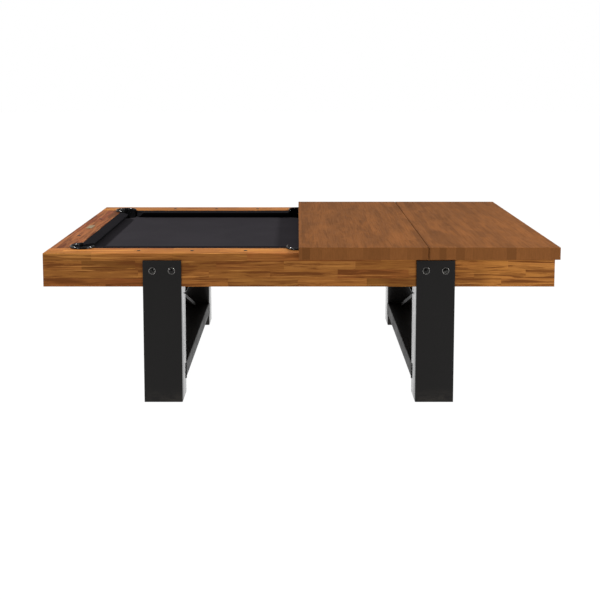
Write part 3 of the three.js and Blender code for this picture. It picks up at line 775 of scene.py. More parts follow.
def thread_tree(material):
    """A threaded stem: a core and a ridge that winds round it."""
    inputs = {"Radius": "Float", "Height": "Float", "Pitch": "Float", "Place": "Vector"}
    tree, given = geometry_tree("threaded stem", inputs)
    depth = given["Pitch"] * THREAD_DEPTH
    root = given["Radius"] - depth
    core = tree.add(
        "GeometryNodeMeshCylinder", sockets={"Vertices": 24, "Radius": root, "Depth": given["Height"]}
    )
    turns = given["Height"] / given["Pitch"] - 1.0
    ridge = tree.add(
        "GeometryNodeCurveSpiral",
        sockets={
            "Resolution": 18,
            "Rotations": turns,
            "Start Radius": root,
            "End Radius": root,
            "Height": given["Height"] - given["Pitch"],
        },
    )
    low = tree.add("ShaderNodeCombineXYZ", sockets={2: (given["Height"] - given["Pitch"]) * -0.5})
    ridge = tree.add("GeometryNodeTransform", sockets={"Geometry": ridge, "Translation": low})
    tooth = tree.add("GeometryNodeCurvePrimitiveCircle", sockets={"Resolution": 4, "Radius": depth})
    wound = tree.add(
        "GeometryNodeCurveToMesh", sockets={"Curve": ridge, "Profile Curve": tooth, "Fill Caps": True}
    )
    both = tree.add("GeometryNodeJoinGeometry", sockets={0: core})
    tree.tree.links.new(wound.plug, both.plug.node.inputs[0])
    stood = tree.add("GeometryNodeTransform", sockets={"Geometry": both, "Translation": given["Place"]})
    end_tree(tree, stood, material)
    return tree


# ---- Rails and aprons ------------------------------------------------------------------------


def build_rails(sizes, colours):
    """The hardwood rails and the aprons under them."""
    wanted = list(colours.acacia)
    at_end = list(colours.acacia_end)
    stave = sizes.stave_length
    low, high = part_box("apron_front")
    thick = high.y - low.y
    up_rail = (RAIL_LOW.z, RAIL_TOP, 1)
    up_apron = (low.z, high.z, 3)
    across = {
        "rail_X": (WOOD_Y, TABLE_Y, 3),
        "rail_Y": (WOOD_X, TABLE_X, 3),
        "apron_X": (TABLE_Y - thick, TABLE_Y, 1),
        "apron_Y": (TABLE_X - thick, TABLE_X, 1),
    }
    woods = {
        "rail_X": acacia("acacia_long_rail", wanted, "X", across["rail_X"], up_rail, stave, 1.1),
        "rail_Y": acacia("acacia_end_rail", at_end, "Y", across["rail_Y"], up_rail, stave, 2.1),
        # The long aprons take painted light from the right towards their right end.
        "apron_X": acacia("acacia_long_apron", wanted, "X", across["apron_X"], up_apron, stave, 1.5, 0.7),
        "apron_Y": acacia("acacia_end_apron", wanted, "Y", across["apron_Y"], up_apron, stave, 1.5),
    }
    for place, run in [*((side, "X") for side in SIDES), *((end, "Y") for end in ENDS)]:
        build_rail(f"rail_{place}", woods[f"rail_{run}"], run, sizes)
        eased_copy(f"apron_{place}", woods[f"apron_{run}"], sizes.eased_joint, "table", "acacia")


def build_rail(node, wood, run, sizes):
    """A rail with a rounder edge beside the cushion than at its outer face."""
    shape = node_shape(node)
    axis = "XY".index(run)
    across = 1 - axis
    inner = WOOD_Y if run == "X" else WOOD_X
    offset = (MIDDLE_X, 0)[across]

    def beside_cushion(edge):
        return abs(abs(edge.verts[0].co[across] - offset) - inner) < MM

    tops = [edge for edge in shape.edges if min(vert.co.z for vert in edge.verts) > RAIL_TOP - MM]
    long_tops = [edge for edge in tops if runs_along(edge, axis)]
    round_edges(shape, [edge for edge in long_tops if beside_cushion(edge)], sizes.cushion_edge)
    tops = [edge for edge in shape.edges if min(vert.co.z for vert in edge.verts) > RAIL_TOP - MM / 10]
    outer = TABLE_Y if run == "X" else TABLE_X
    rim = [e for e in tops if all(abs(abs(v.co[across] - offset) - outer) < MM for v in e.verts)]
    round_edges(shape, rim, sizes.eased_wood)
    eased_piece(f"{node}_finished", shape, wood, sizes.eased_joint, "table", "acacia", node)


def build_sights(sizes, colours):
    """Seventeen glossy sights, an eighth of the playing field apart; the nameplate takes one's place."""
    apart = 2 * NOSE_X / 8
    long_y = TABLE_Y - RAIL_WIDTH / 2
    end_x = TABLE_X - RAIL_WIDTH / 2
    spots = []
    for sy in SIDES.values():
        spots += [(MIDDLE_X + sx * n * apart, sy * long_y, RAIL_TOP) for sx in (-1, 1) for n in (1, 2, 3)]
    for sx in ENDS.values():
        spots += [(MIDDLE_X + sx * end_x, sy * apart, RAIL_TOP) for sy in (-1, 1)]
    spots.append((MIDDLE_X + end_x, 0, RAIL_TOP))
    nickel = metal("sight_nickel", linear("1E1D1C"), 0.1, 0.18)
    values = {"Radius": sizes.sight_radius, "Rise": sizes.sight_rise, "Steps": 32}
    sights = grown("sights", dome_tree(nickel), values, points_mesh("sight_spots", spots))
    finished(sights, "table", "bolt_steel")


# ---- Cushions --------------------------------------------------------------------------------


CLOTH_FOLD = 1.4 * MM  # radius of the cloth's folds at a cushion's ends
CROWN_FALL = 0.35 * MM  # from the back of a cushion's top towards its nose
BACK_CHAMFER = 1.5 * MM
FOLD_TURN = math.radians(42)  # edges of a cushion sharper than this are folds
CUSHION_STEPS = 48  # lengths of a cushion
NOSE_HEIGHT = 0.95  # share of a cushion's height
FOOT_DEPTH = 0.4  # share of a cushion's depth, from its nose back to its foot
JAW_SLACK = 0.5 * MM  # between a cushion and a pocket's round
CUSHION_THREAD = 0.8 * MM
BED_THREAD = 0.7 * MM


def cushion_outline(depth, foot, nose_height, back_height, radius):
    """Section of a cushion as (behind the nose, above the bed) points, from the foot round the nose."""
    under = math.degrees(math.atan2(nose_height, foot))
    nose = arc((radius, nose_height - radius), (radius, radius), 270 - under, 90, 8)
    back = depth - AIR
    crown = [(0.3 * depth, back_height - CROWN_FALL), (0.7 * depth, back_height)]
    heel = [(back - BACK_CHAMFER, back_height), (back, back_height - BACK_CHAMFER), (back, AIR)]
    return [(foot, AIR)] + nose + crown + heel


def build_cushion(name, flip, ends, outline, material):
    """A cushion whose ends lie at ends[0](behind) and ends[1](behind) along the rail."""
    shape = bmesh.new()
    chart = shape.loops.layers.uv.new("cloth")
    around = [0.0]
    for first, second in zip(outline, outline[1:] + outline[:1]):
        around.append(around[-1] + math.dist(first, second))
    rings = []
    for i in range(CUSHION_STEPS + 1):
        share = i / CUSHION_STEPS
        ring = []
        for behind, up in outline:
            start, stop = ends[0](behind), ends[1](behind)
            ring.append(shape.verts.new(flip(start + (stop - start) * share, behind, BED + up)))
        rings.append(ring)
    count = len(outline)
    length = ends[1](0) - ends[0](0)
    for i, (ring, following) in enumerate(zip(rings, rings[1:])):
        for k in range(count):
            after = (k + 1) % count
            face = shape.faces.new((ring[k], following[k], following[after], ring[after]))
            shares = (i, i + 1, i + 1, i)
            strips = (k, k, k + 1, k + 1)
            for loop, share, strip in zip(face.loops, shares, strips):
                loop[chart].uv = (length * share / CUSHION_STEPS, around[strip])
    for ring in (rings[0][::-1], rings[-1]):
        face = shape.faces.new(ring)
        for loop in face.loops:
            loop[chart].uv = (loop.vert.co.x + loop.vert.co.y, loop.vert.co.z)
    bmesh.ops.recalc_face_normals(shape, faces=shape.faces)
    mesh = bpy.data.meshes.new(name)
    shape.to_mesh(mesh)
    shape.free()
    piece = new_piece(name, mesh, material)
    ease(piece, CLOTH_FOLD, turn=FOLD_TURN)
    return piece


class Jaw:
    """The end of a cushion at a pocket, in distances along the rail and behind the nose."""

    def __init__(self, tip, centre, angle, towards, radius):
        self.tip = tip
        self.centre = centre
        self.lean = towards / math.tan(math.radians(angle))
        self.towards = towards
        self.radius = radius

    def end(self, behind):
        """Where the cushion stops: at its jaw, or at the round of the pocket where that comes first."""
        jaw = self.tip + self.lean * behind
        off = behind - self.centre[1]
        if abs(off) >= self.radius:
            return jaw
        stop = self.centre[0] - self.towards * math.sqrt(self.radius**2 - off**2)
        return min(jaw, stop) if self.towards > 0 else max(jaw, stop)

    def half_mouth(self, heading):
        """The angle at the pocket's centre from its heading to where the jaw meets its round."""
        start = Vector((self.tip - self.centre[0], -self.centre[1]))
        step = Vector((self.lean, 1.0))
        half = start.dot(step)
        share = -half - math.sqrt(half**2 - step.length_squared * (start.length_squared - self.radius**2))
        return (start + step * share / step.length_squared).angle(Vector(heading))


CORNER_TIP = 0.085  # from the corner of the playing field to the tip of a cushion
CORNER_JAW_ANGLE = 38  # degrees
SIDE_TIP = 0.065  # from the middle of the side to the tip of a cushion
SIDE_JAW_ANGLE = 76


def jaws(radius):
    """The jaws at a corner of a long side, at a corner of an end, and at a side pocket."""
    corner = pocket_centre("pocket_rear_right") - Vector((MIDDLE_X, 0))
    side = pocket_centre("pocket_side_rear") - Vector((MIDDLE_X, 0))
    along_side = (corner.x, corner.y - NOSE_Y)
    along_end = (corner.y, corner.x - NOSE_X)
    at_side = (side.x, side.y - NOSE_Y)
    return {
        "long": Jaw(NOSE_X - CORNER_TIP, along_side, CORNER_JAW_ANGLE, 1, radius),
        "end": Jaw(NOSE_Y - CORNER_TIP, along_end, CORNER_JAW_ANGLE, 1, radius),
        "side": Jaw(SIDE_TIP, at_side, SIDE_JAW_ANGLE, -1, radius),
    }


def build_cushions(sizes, colours):
    """Six cushions in cloth, cut to jaws at the pockets."""
    cloth = woven("cushion_cloth", list(colours.cushion), CUSHION_THREAD, from_map=True)
    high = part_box("cushion_rear_right")[1]
    depth = WOOD_Y - NOSE_Y
    height = high.z - BED
    foot = FOOT_DEPTH * depth
    outline = cushion_outline(depth, foot, NOSE_HEIGHT * height, height, sizes.nose_radius)
    jaw = jaws(RIM_RADIUS - sizes.pocket_rim + JAW_SLACK)

    def pad(node, ends, flip):
        piece = build_cushion(f"{node}_padded", flip, ends, outline, cloth)
        finished(piece, "table", "cushion_cloth", node)

    for side, sy in SIDES.items():
        for end, sx in ENDS.items():
            def on_side(along, behind, z, sx=sx, sy=sy):
                return Vector((MIDDLE_X + sx * along, sy * (NOSE_Y + behind), z))
            pad(f"cushion_{side}_{end}", (jaw["side"].end, jaw["long"].end), on_side)
    for end, sx in ENDS.items():
        def at_end(along, behind, z, sx=sx):
            return Vector((MIDDLE_X + sx * (NOSE_X + behind), along, z))
        pad(f"cushion_{end}", (lambda behind: -jaw["end"].end(behind), jaw["end"].end), at_end)


# ---- Bed -------------------------------------------------------------------------------------


SLATE_EASE = 1 * MM
HEM_EASE = 0.4 * MM  # at the edges of the bed cloth
FACES_UP = 0.9  # a face points up when its normal's rise is over this


def build_bed(sizes, colours):
    """Three slates and the cloth that is stretched over them."""
    slate = stone("slate_stone")
    for where in ("left", "middle", "right"):
        eased_copy(f"slate_{where}", slate, SLATE_EASE, "table", "slate")
    shape = node_shape("bed_cloth")
    top = [face for face in shape.faces if face.normal.z > FACES_UP]
    area = sum(face.calc_area() for face in top)
    low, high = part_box("bed_cloth")
    others = [face for face in shape.faces if face.normal.z <= FACES_UP]
    bmesh.ops.delete(shape, geom=others, context="FACES")
    loose = [vert for vert in shape.verts if not vert.link_faces]
    bmesh.ops.delete(shape, geom=loose, context="VERTS")
    rim = [edge for edge in shape.edges if edge.is_boundary and in_pocket(edge)]
    turned = bmesh.ops.extrude_edge_only(shape, edges=rim)
    lowered = [item for item in turned["geom"] if isinstance(item, bmesh.types.BMVert)]
    for vert in lowered:
        vert.co.z -= sizes.cloth_turn
    area += sum(edge.calc_length() for edge in rim) * sizes.cloth_turn
    for vert in shape.verts:
        vert.co.z -= 0.5 * (high.z - low.z)
    mesh = mesh_from("bed_cloth_stretched", shape)
    cloth = woven("bed_cloth_worsted", list(colours.bed), BED_THREAD, from_map=False)
    piece = new_piece(mesh.name, mesh, cloth)
    thick = piece.modifiers.new("thickness", "SOLIDIFY")
    thick.thickness = high.z - low.z
    thick.offset = 0
    thick.use_even_offset = True
    ease(piece, HEM_EASE, segments=2)
    finished(piece, "table", "bed_cloth", "bed_cloth")


def in_pocket(edge):
    """Whether an edge of the cloth runs round a pocket."""
    middle = (edge.verts[0].co + edge.verts[1].co) / 2
    for name in BALL_ROOM:
        if name.startswith("pocket") and (middle.xy - pocket_centre(name)).length < RIM_RADIUS:
            return True
    return False


# ---- Pockets ---------------------------------------------------------------------------------


POCKET_LIP = 8 * MM  # from the bed down to the top of a bucket's wall
POCKET_FOOT = 8 * MM  # radius of the round foot of a bucket
POCKET_EDGE = 1.4 * MM  # radius of a collar's edges
COLLAR_TURN = math.radians(50)  # edges of a collar sharper than this are eased


def build_pockets(sizes, colours):
    """Six moulded pockets: a bucket under the bed and a raised collar round the back of its mouth."""
    plastic = moulded("pocket_moulding", list(colours.plastic))
    outer = RIM_RADIUS - sizes.pocket_rim
    wall = sizes.pocket_wall
    inner = outer - wall
    lip = BED - POCKET_LIP
    foot = (POCKET_FOOT, POCKET_FOOT)
    for name in [n for n in BALL_ROOM if n.startswith("pocket")]:
        centre = pocket_centre(name)
        low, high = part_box(name)
        floor = low.z + wall
        bucket = [(0, low.z)] + arc((outer - POCKET_FOOT, low.z + POCKET_FOOT), foot, 270, 360, 5)
        bucket += arc(((outer + inner) / 2, lip - wall / 2), (wall / 2, wall / 2), 0, 180, 6)
        bucket += arc((inner - POCKET_FOOT, floor + POCKET_FOOT), foot, 360, 270, 5) + [(0, floor)]
        shape = bmesh.new()
        revolved(shape, bucket, centre, 64)

        brim = RAIL_TOP + AIR
        bead = arc(((inner + RIM_RADIUS) / 2, brim), ((RIM_RADIUS - inner) / 2, high.z - brim), 0, 180, 12)
        collar = [(outer, lip - wall), (outer, brim)] + bead + [(inner, lip - wall)]
        heading, half = mouth_of(name, centre, outer)
        revolved(shape, collar, centre, 56, heading + half, 2 * math.pi - 2 * half)
        eased_piece(
            f"{name}_moulded", closed(shape), plastic, POCKET_EDGE, "table", "pocket_plastic", name,
            turn=COLLAR_TURN,
        )


def mouth_of(name, centre, outer):
    """Which way a pocket opens, and half the angle that its mouth takes, in radians."""
    jaw = jaws(outer)
    inwards = -math.copysign(1, centre.y)
    if name.startswith("pocket_side"):
        return inwards * math.pi / 2, jaw["side"].half_mouth((0, -1))
    heading = math.atan2(inwards, math.copysign(1, MIDDLE_X - centre.x))
    return heading, jaw["long"].half_mouth((-1, -1))


# ---- Timber frame ----------------------------------------------------------------------------


PLANED_EDGE = 1.5 * MM  # radius


def build_timber(sizes, colours):
    """Bolsters over the legs, and the beams and cross members that carry the slates."""
    lengthwise = softwood("pine_lengthwise", "X")
    crosswise = softwood("pine_crosswise", "Y")
    for side in SIDES:
        eased_copy(f"frame_beam_{side}", lengthwise, PLANED_EDGE, "table", "frame_timber")
    for end in ENDS:
        eased_copy(f"bolster_{end}", crosswise, PLANED_EDGE, "table", "frame_timber")
    for where in ("left", "middle", "right"):
        eased_copy(f"cross_member_{where}", crosswise, PLANED_EDGE, "table", "frame_timber")


# ---- Leg frames ------------------------------------------------------------------------------


CORNER_LENGTH = 0.3  # the corners of a tube are at least so long
BEAM_CORNER = 0.8  # a lower beam's corner against a post's
WELD_STEP = 1.5 * MM  # between the rings of a bead
WELD_RIPPLE = 0.22  # how deep the ripples are, as a share of the bead


def build_leg_frames(sizes, colours):
    """Two welded frames: posts, lower beams, top channels and crossed braces."""
    on_posts = powder_coat("powder_coat_satin", list(colours.steel), 1.0)
    coat = powder_coat("powder_coat_matt", list(colours.steel), 0.0)
    for quarter in QUARTERS:
        node = f"leg_post_{quarter}"
        shape = node_shape(node)
        round_long_edges(shape, 2, CORNER_LENGTH, sizes.tube_corner)
        eased_piece(f"{node}_finished", shape, on_posts, sizes.eased_steel, "table", "black_steel", node, 2)
    for end in ENDS:
        node = f"leg_lower_beam_{end}"
        shape = node_shape(node)
        round_long_edges(shape, 1, CORNER_LENGTH, sizes.tube_corner * BEAM_CORNER)
        thin = sizes.eased_steel / 2
        eased_piece(f"{node}_finished", shape, coat, thin, "table", "black_steel", node, 2)
        for part in ("leg_top_channel", "leg_brace_falling", "leg_brace_rising"):
            eased_copy(f"{part}_{end}", coat, sizes.eased_steel, "table", "black_steel")
    paths = weld_paths(sizes.weld_radius)
    values = {"Radius": sizes.weld_radius, "Step": WELD_STEP, "Ripple": WELD_RIPPLE}
    finished(grown("weld_beads", bead_tree(coat), values, paths), "table", "black_steel")


WEB = 3 * MM  # half the thickness of a top channel's web
SHELF = 6 * MM  # thickness of its flanges


def weld_paths(radius):
    """Loops where the lower beams and top channels meet the posts."""
    mesh = bpy.data.meshes.new("weld_paths")
    points, edges = [], []

    def loop(y, corners):
        first = len(points)
        points.extend((x, y, z) for x, z in corners)
        count = len(corners)
        edges.extend((first + i, first + (i + 1) % count) for i in range(count))

    for end in ENDS:
        for sy in SIDES.values():
            low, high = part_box(f"leg_lower_beam_{end}")
            y = sy * high.y
            loop(y, [(low.x, low.z), (high.x, low.z), (high.x, high.z), (low.x, high.z)])
            low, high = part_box(f"leg_top_channel_{end}")
            middle = (low.x + high.x) / 2
            top = high.z - radius
            right = [(high.x, low.z), (high.x, low.z + SHELF), (middle + WEB, low.z + SHELF)]
            right += [(middle + WEB, high.z - SHELF), (high.x, high.z - SHELF), (high.x, top)]
            left = [(2 * middle - x, z) for x, z in reversed(right)]
            loop(y, right + left)
    mesh.from_pydata(points, edges, [])
    return mesh


BOLT_SHANK = 5 * MM  # radius
BOLT_HEAD = 12.5 * MM  # radius
HEAD_SKIRT = 1.2 * MM  # the straight foot of the domed head
WASHER = 2.5 * MM  # thickness
WASHER_EDGE = 1.1 * MM  # radius of its round edge, in bright metal that is partly a painted highlight
RING_RISE = 2 * MM  # from the face plate to the middle of that edge
BOLT_EASE = 0.4 * MM
NUT_RADIUS = 9.5 * MM  # to the corners
NUT_HEIGHT = 8 * MM
NUT_INSET = 3 * MM  # from the tip of the shank


def build_bolts(sizes, colours):
    """Eight domed bolts that hold the face plates of the posts to the aprons."""
    black = bolt_finish("bolt_black", linear("1E1D1C"))
    places = []
    for quarter in QUARTERS:
        face = max(abs(corner.y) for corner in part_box(f"leg_post_{quarter}"))
        for number in (1, 2):
            node = f"leg_bolt_{quarter}_{number}"
            low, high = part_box(node)
            outward = 1 if high.y > 0 else -1
            tail, tip = sorted(abs(corner.y) - face for corner in (low, high))
            washer = (high.x - low.x) / 2
            middle = (low + high) / 2
            places.append((middle.x, outward * (face + RING_RISE), middle.z))
            shape = bmesh.new()
            revolved(shape, bolt_outline(washer, tip, tail), Vector((0, 0)), 40)
            hexagon(shape, NUT_RADIUS, tail + NUT_INSET, tail + NUT_INSET + NUT_HEIGHT)
            closed(shape)
            place = Matrix.Translation((middle.x, outward * face, middle.z))
            turn = Matrix.Rotation(-outward * math.pi / 2, 4, "X")
            bmesh.ops.transform(shape, matrix=place @ turn, verts=shape.verts)
            eased_piece(f"{node}_finished", shape, black, BOLT_EASE, "table", "bolt_steel", node, 2)
    # The washers' edges are rings of bright metal: partly a real edge, partly a painted highlight for the
    # light they catch.
    nickel = metal("washer_nickel", linear("A8A5A1"), 0.14, 0.26)
    values = {"Radius": washer - WASHER_EDGE, "Thickness": WASHER_EDGE}
    edges = grown("washer_edges", ring_tree(nickel), values, points_mesh("washer_places", places))
    finished(edges, "table", "bolt_steel")


def bolt_outline(washer, tip, tail):
    """Half section of a bolt as (radius, along) points: shank, washer and domed head."""
    seat = AIR + WASHER
    crown = seat + HEAD_SKIRT
    outline = [(0, tail), (BOLT_SHANK - MM, tail), (BOLT_SHANK, tail + MM), (BOLT_SHANK, AIR)]
    outline += [(washer, AIR), (washer, AIR + 0.6 * WASHER), (washer - MM, seat), (BOLT_HEAD, seat)]
    return outline + arc((0, crown), (BOLT_HEAD, tip - crown), 0, 90, 10)


def hexagon(shape, radius, low, high):
    """A hexagonal nut, its corners on the radius."""
    rings = []
    for z in (low, high):
        ring = []
        for i in range(6):
            angle = i * math.pi / 3
            ring.append(shape.verts.new((radius * math.cos(angle), radius * math.sin(angle), z)))
        rings.append(ring)
    shape.faces.new(rings[0][::-1])
    shape.faces.new(rings[1])
    for i in range(6):
        after = (i + 1) % 6
        shape.faces.new((rings[0][i], rings[0][after], rings[1][after], rings[1][i]))


FOOT_HEIGHT = 8 * MM
FOOT_LIP = 1.5 * MM
FOOT_ROUND = (3 * MM, 2.5 * MM)
FOOT_ROUND_RISE = 2 * MM  # from the lip to where the round starts
FOOT_EASE = 0.5 * MM
FOOT_BOSS = 16 * MM  # radius of the raised middle of a foot
LOCK_NUT_TOP = 14 * MM
STEM_RADIUS = 5 * MM


def build_levellers(sizes, colours):
    """Four levelling feet with threaded stems."""
    steel = bolt_finish("leveller_steel", linear("34322F"))
    stem_tree = thread_tree(steel)
    for quarter in QUARTERS:
        node = f"leveller_{quarter}"
        low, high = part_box(node)
        middle = (low + high) / 2
        radius = (high.y - low.y) / 2
        top = low.z + FOOT_HEIGHT
        outline = [(0, low.z), (radius - FOOT_LIP, low.z), (radius, low.z + FOOT_LIP)]
        outline += arc((radius - FOOT_ROUND[0], low.z + FOOT_LIP + FOOT_ROUND_RISE), FOOT_ROUND, 0, 90, 5)
        outline += [(FOOT_BOSS, top), (0, top)]
        shape = bmesh.new()
        revolved(shape, outline, middle.xy, 48)
        start = len(shape.verts)
        hexagon(shape, NUT_RADIUS, top - AIR, low.z + LOCK_NUT_TOP)
        shape.verts.ensure_lookup_table()
        bmesh.ops.translate(shape, vec=(middle.x, middle.y, 0), verts=shape.verts[start:])
        eased_piece(f"{node}_foot", closed(shape), steel, FOOT_EASE, node, "bolt_steel", node, 2)
        values = {
            "Radius": STEM_RADIUS,
            "Height": high.z - top,
            "Pitch": sizes.thread_pitch,
            "Place": (middle.x, middle.y, (top + high.z) / 2),
        }
        finished(grown(f"{node}_stem", stem_tree, values), node, "bolt_steel")


# ---- Dining top ------------------------------------------------------------------------------


# Where each panel ends at the seam between them
MEETING = Vector((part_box("dining_panel_middle")[1].x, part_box("dining_panel_end")[0].x))


FELT_EASE = 0.7 * MM


def build_dining_top(sizes, colours):
    """Two lift-off panels and the felt under them."""
    wood = walnut("walnut_lamellas", list(colours.walnut))
    lining = felted("panel_felt_black", linear("1E1C1D"))
    for where in ("middle", "end"):
        body = f"dining_panel_{where}"
        shape = node_shape(body)
        seam, away = (MEETING.x, -1) if where == "middle" else (MEETING.y, 1)
        for vert in shape.verts:
            if abs(vert.co.x - seam) < MM / 10:
                vert.co.x += away * sizes.seam / 2
        eased_piece(f"{body}_finished", shape, wood, sizes.eased_panel, body, "walnut_stain", body)
        node = f"panel_felt_{where}"
        shape = node_shape(node)
        area = sum(face.calc_area() for face in shape.faces if face.normal.z > FACES_UP)
        piece = eased_piece(f"{node}_lining", shape, lining, FELT_EASE, body, "felt", node, 2)


SCREW_INSET = 8 * MM  # from the ends of the nameplate
SCREW = {"Radius": 3 * MM, "Rise": 0.8 * MM, "Steps": 24}
PLATE_EASE = 0.4 * MM


def build_nameplate(sizes, colours):
    """A blank brass plate with a screw at each end."""
    brass = metal("nameplate_brass", list(colours.brass), 0.22, 0.36)
    eased_copy("nameplate", brass, PLATE_EASE, "table", "brass")
    low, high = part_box("nameplate")
    x = (low.x + high.x) / 2
    spots = [(x, low.y + SCREW_INSET, high.z), (x, high.y - SCREW_INSET, high.z)]
    screws = grown("nameplate_screws", dome_tree(brass), SCREW, points_mesh("screw_spots", spots))
    finished(screws, "table", "brass")


# ---- Stage -----------------------------------------------------------------------------------

CAMERA_PLACE = (-0.019, -5.196, 1.728)
CAMERA_PITCH = 85  # degrees from straight down
CAMERA_LENS = 52.41  # mm, on a 36 mm sensor
CAMERA_SHIFT = (0.0045, -0.2559)

# name: (place, aimed at, width, height, watts)
LIGHTS = {
    "key_right": ((4.4, -0.6, 3.4), (0.2, 0, 0.75), 0.6, 0.6, 255),
    "key_left": ((-4.4, -0.6, 3.9), (-0.2, 0, 0.75), 0.6, 0.6, 270),
    "overhead": ((-0.3, -0.2, 3.6), (0, 0, 0.75), 3.0, 2.0, 15),
    "strip_left": ((-3.2, -3.8, 1.7), (-0.6, -0.6, 0.6), 0.5, 2.0, 14),
    "strip_right": ((2.6, -2.7, 1.5), (1.2, -0.8, 0.7), 0.5, 1.6, 22),
}


def build_stage():
    """A plain pale floor, soft studio light and the camera."""
    shape = bmesh.new()
    bmesh.ops.create_grid(shape, x_segments=1, y_segments=1, size=30)
    mesh = mesh_from("studio_floor", shape)
    material, tree = new_material("pale_floor")
    tree.surface(
        Base_Color=opaque([0.04, 0.04, 0.04]),
        Roughness=0.9,
        Specular_IOR_Level=0.0,
        Emission_Color=(1, 1, 1, 1),
        Emission_Strength=1.0,
    )
    floor = new_piece("studio_floor", mesh, material)

    world = bpy.data.worlds.new("studio")
    world.use_nodes = True
    world.node_tree.nodes.clear()
    sky = Tree(world.node_tree)
    rearward = sky.parts(sky.add("ShaderNodeTexCoord", output="Generated"))[1].ramp(-0.3, 0.6, 0.1, 0.5)
    camera_sees = sky.add("ShaderNodeLightPath", output="Is Camera Ray")
    seen = camera_sees + (1 - camera_sees) * rearward
    shine = sky.add("ShaderNodeBackground", sockets={"Color": (1, 1, 1, 1), "Strength": seen})
    sky.add("ShaderNodeOutputWorld", sockets={"Surface": shine})
    bpy.context.scene.world = world
    bpy.context.scene.view_settings.view_transform = "Standard"

    for name, (place, aim, width, height, watts) in LIGHTS.items():
        light = bpy.data.lights.new(name, "AREA")
        light.shape = "RECTANGLE"
        light.size = width
        light.size_y = height
        light.energy = watts
        lamp = bpy.data.objects.new(name, light)
        lamp.location = place
        lamp.rotation_euler = (Vector(aim) - Vector(place)).to_track_quat("-Z", "Y").to_euler()
        bpy.context.scene.collection.objects.link(lamp)

    camera = bpy.data.cameras.new("camera")
    camera.lens = CAMERA_LENS
    camera.shift_x, camera.shift_y = CAMERA_SHIFT
    viewer = bpy.data.objects.new("camera", camera)
    viewer.location = CAMERA_PLACE
    viewer.rotation_euler = (math.radians(CAMERA_PITCH), 0, 0)
    bpy.context.scene.collection.objects.link(viewer)
    bpy.context.scene.camera = viewer


# ---- Operators -------------------------------------------------------------------------------


class PieceOperator:
    """What every operator here shares."""

    bl_options = {"REGISTER", "UNDO"}
    build = None

    def execute(self, context):
        scene = context.scene
        type(self).build(scene.pool_table_sizes, scene.pool_table_colours)
        return {"FINISHED"}


class POOLTABLE_OT_stage(bpy.types.Operator):
    """Add the floor, the studio light and the camera"""

    bl_idname = "pool_table.stage"
    bl_label = "Stage"
    bl_options = {"REGISTER", "UNDO"}

    def execute(self, context):
        build_stage()
        return {"FINISHED"}


class POOLTABLE_OT_rails(PieceOperator, bpy.types.Operator):
    """Build the hardwood rails and aprons"""

    bl_idname = "pool_table.rails"
    bl_label = "Rails and Aprons"
    build = build_rails


class POOLTABLE_OT_sights(PieceOperator, bpy.types.Operator):
    """Set the sights into the rails"""

    bl_idname = "pool_table.sights"
    bl_label = "Sights"
    build = build_sights


class POOLTABLE_OT_cushions(PieceOperator, bpy.types.Operator):
    """Build the cloth-covered cushions"""

    bl_idname = "pool_table.cushions"
    bl_label = "Cushions"
    build = build_cushions


class POOLTABLE_OT_bed(PieceOperator, bpy.types.Operator):
    """Lay the slates and stretch the bed cloth"""

    bl_idname = "pool_table.bed"
    bl_label = "Bed"
    build = build_bed


class POOLTABLE_OT_pockets(PieceOperator, bpy.types.Operator):
    """Mould the six pockets"""

    bl_idname = "pool_table.pockets"
    bl_label = "Pockets"
    build = build_pockets


class POOLTABLE_OT_timber(PieceOperator, bpy.types.Operator):
    """Build the timber frame under the slates"""

    bl_idname = "pool_table.timber"
    bl_label = "Timber Frame"
    build = build_timber


class POOLTABLE_OT_legs(PieceOperator, bpy.types.Operator):
    """Build the welded leg frames"""

    bl_idname = "pool_table.legs"
    bl_label = "Leg Frames"
    build = build_leg_frames


class POOLTABLE_OT_bolts(PieceOperator, bpy.types.Operator):
    """Fit the bolts of the face plates"""

    bl_idname = "pool_table.bolts"
    bl_label = "Bolts"
    build = build_bolts


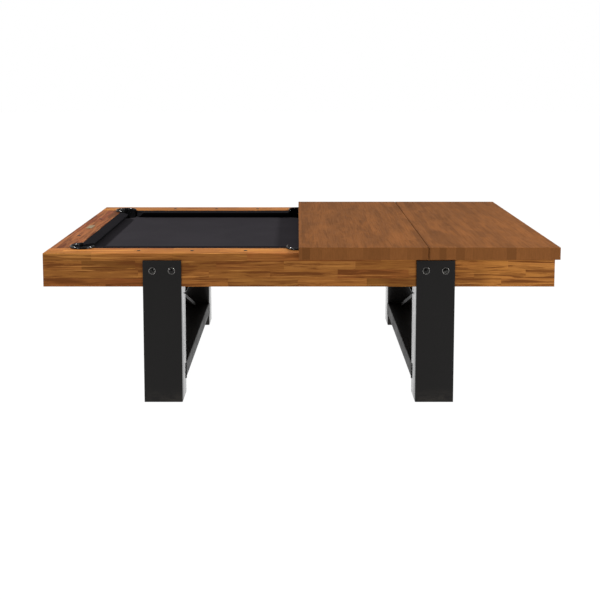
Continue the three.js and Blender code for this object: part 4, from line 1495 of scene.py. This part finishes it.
class POOLTABLE_OT_levellers(PieceOperator, bpy.types.Operator):
    """Fit the levelling feet"""

    bl_idname = "pool_table.levellers"
    bl_label = "Levellers"
    build = build_levellers


class POOLTABLE_OT_dining_top(PieceOperator, bpy.types.Operator):
    """Build the lift-off dining panels and their felt"""

    bl_idname = "pool_table.dining_top"
    bl_label = "Dining Top"
    build = build_dining_top


class POOLTABLE_OT_nameplate(PieceOperator, bpy.types.Operator):
    """Fix the blank nameplate to the end rail"""

    bl_idname = "pool_table.nameplate"
    bl_label = "Nameplate"
    build = build_nameplate


OPERATORS = [
    POOLTABLE_OT_stage,
    POOLTABLE_OT_rails,
    POOLTABLE_OT_sights,
    POOLTABLE_OT_cushions,
    POOLTABLE_OT_bed,
    POOLTABLE_OT_pockets,
    POOLTABLE_OT_timber,
    POOLTABLE_OT_legs,
    POOLTABLE_OT_bolts,
    POOLTABLE_OT_levellers,
    POOLTABLE_OT_dining_top,
    POOLTABLE_OT_nameplate,
]


class POOLTABLE_PT_panel(bpy.types.Panel):
    """The sizes, the colours and a button for each group of pieces"""

    bl_idname = "POOLTABLE_PT_panel"
    bl_label = "Pool Table"
    bl_space_type = "VIEW_3D"
    bl_region_type = "UI"
    bl_category = "Pool Table"

    def draw(self, context):
        for group in (context.scene.pool_table_sizes, context.scene.pool_table_colours):
            column = self.layout.column()
            for key in group.bl_rna.properties.keys():
                if key not in ("rna_type", "name"):
                    column.prop(group, key)
        for operator in OPERATORS:
            self.layout.operator(operator.bl_idname)


CLASSES = [PoolTableSizes, PoolTableColours, *OPERATORS, POOLTABLE_PT_panel]


def register():
    for cls in CLASSES:
        bpy.utils.register_class(cls)
    bpy.types.Scene.pool_table_sizes = bpy.props.PointerProperty(type=PoolTableSizes)
    bpy.types.Scene.pool_table_colours = bpy.props.PointerProperty(type=PoolTableColours)


def unregister():
    del bpy.types.Scene.pool_table_colours
    del bpy.types.Scene.pool_table_sizes
    for cls in reversed(CLASSES):
        bpy.utils.unregister_class(cls)


def main():
    register()
    for operator in OPERATORS:
        group, name = operator.bl_idname.split(".")
        getattr(getattr(bpy.ops, group), name)()


if __name__ == "__main__":
    main()
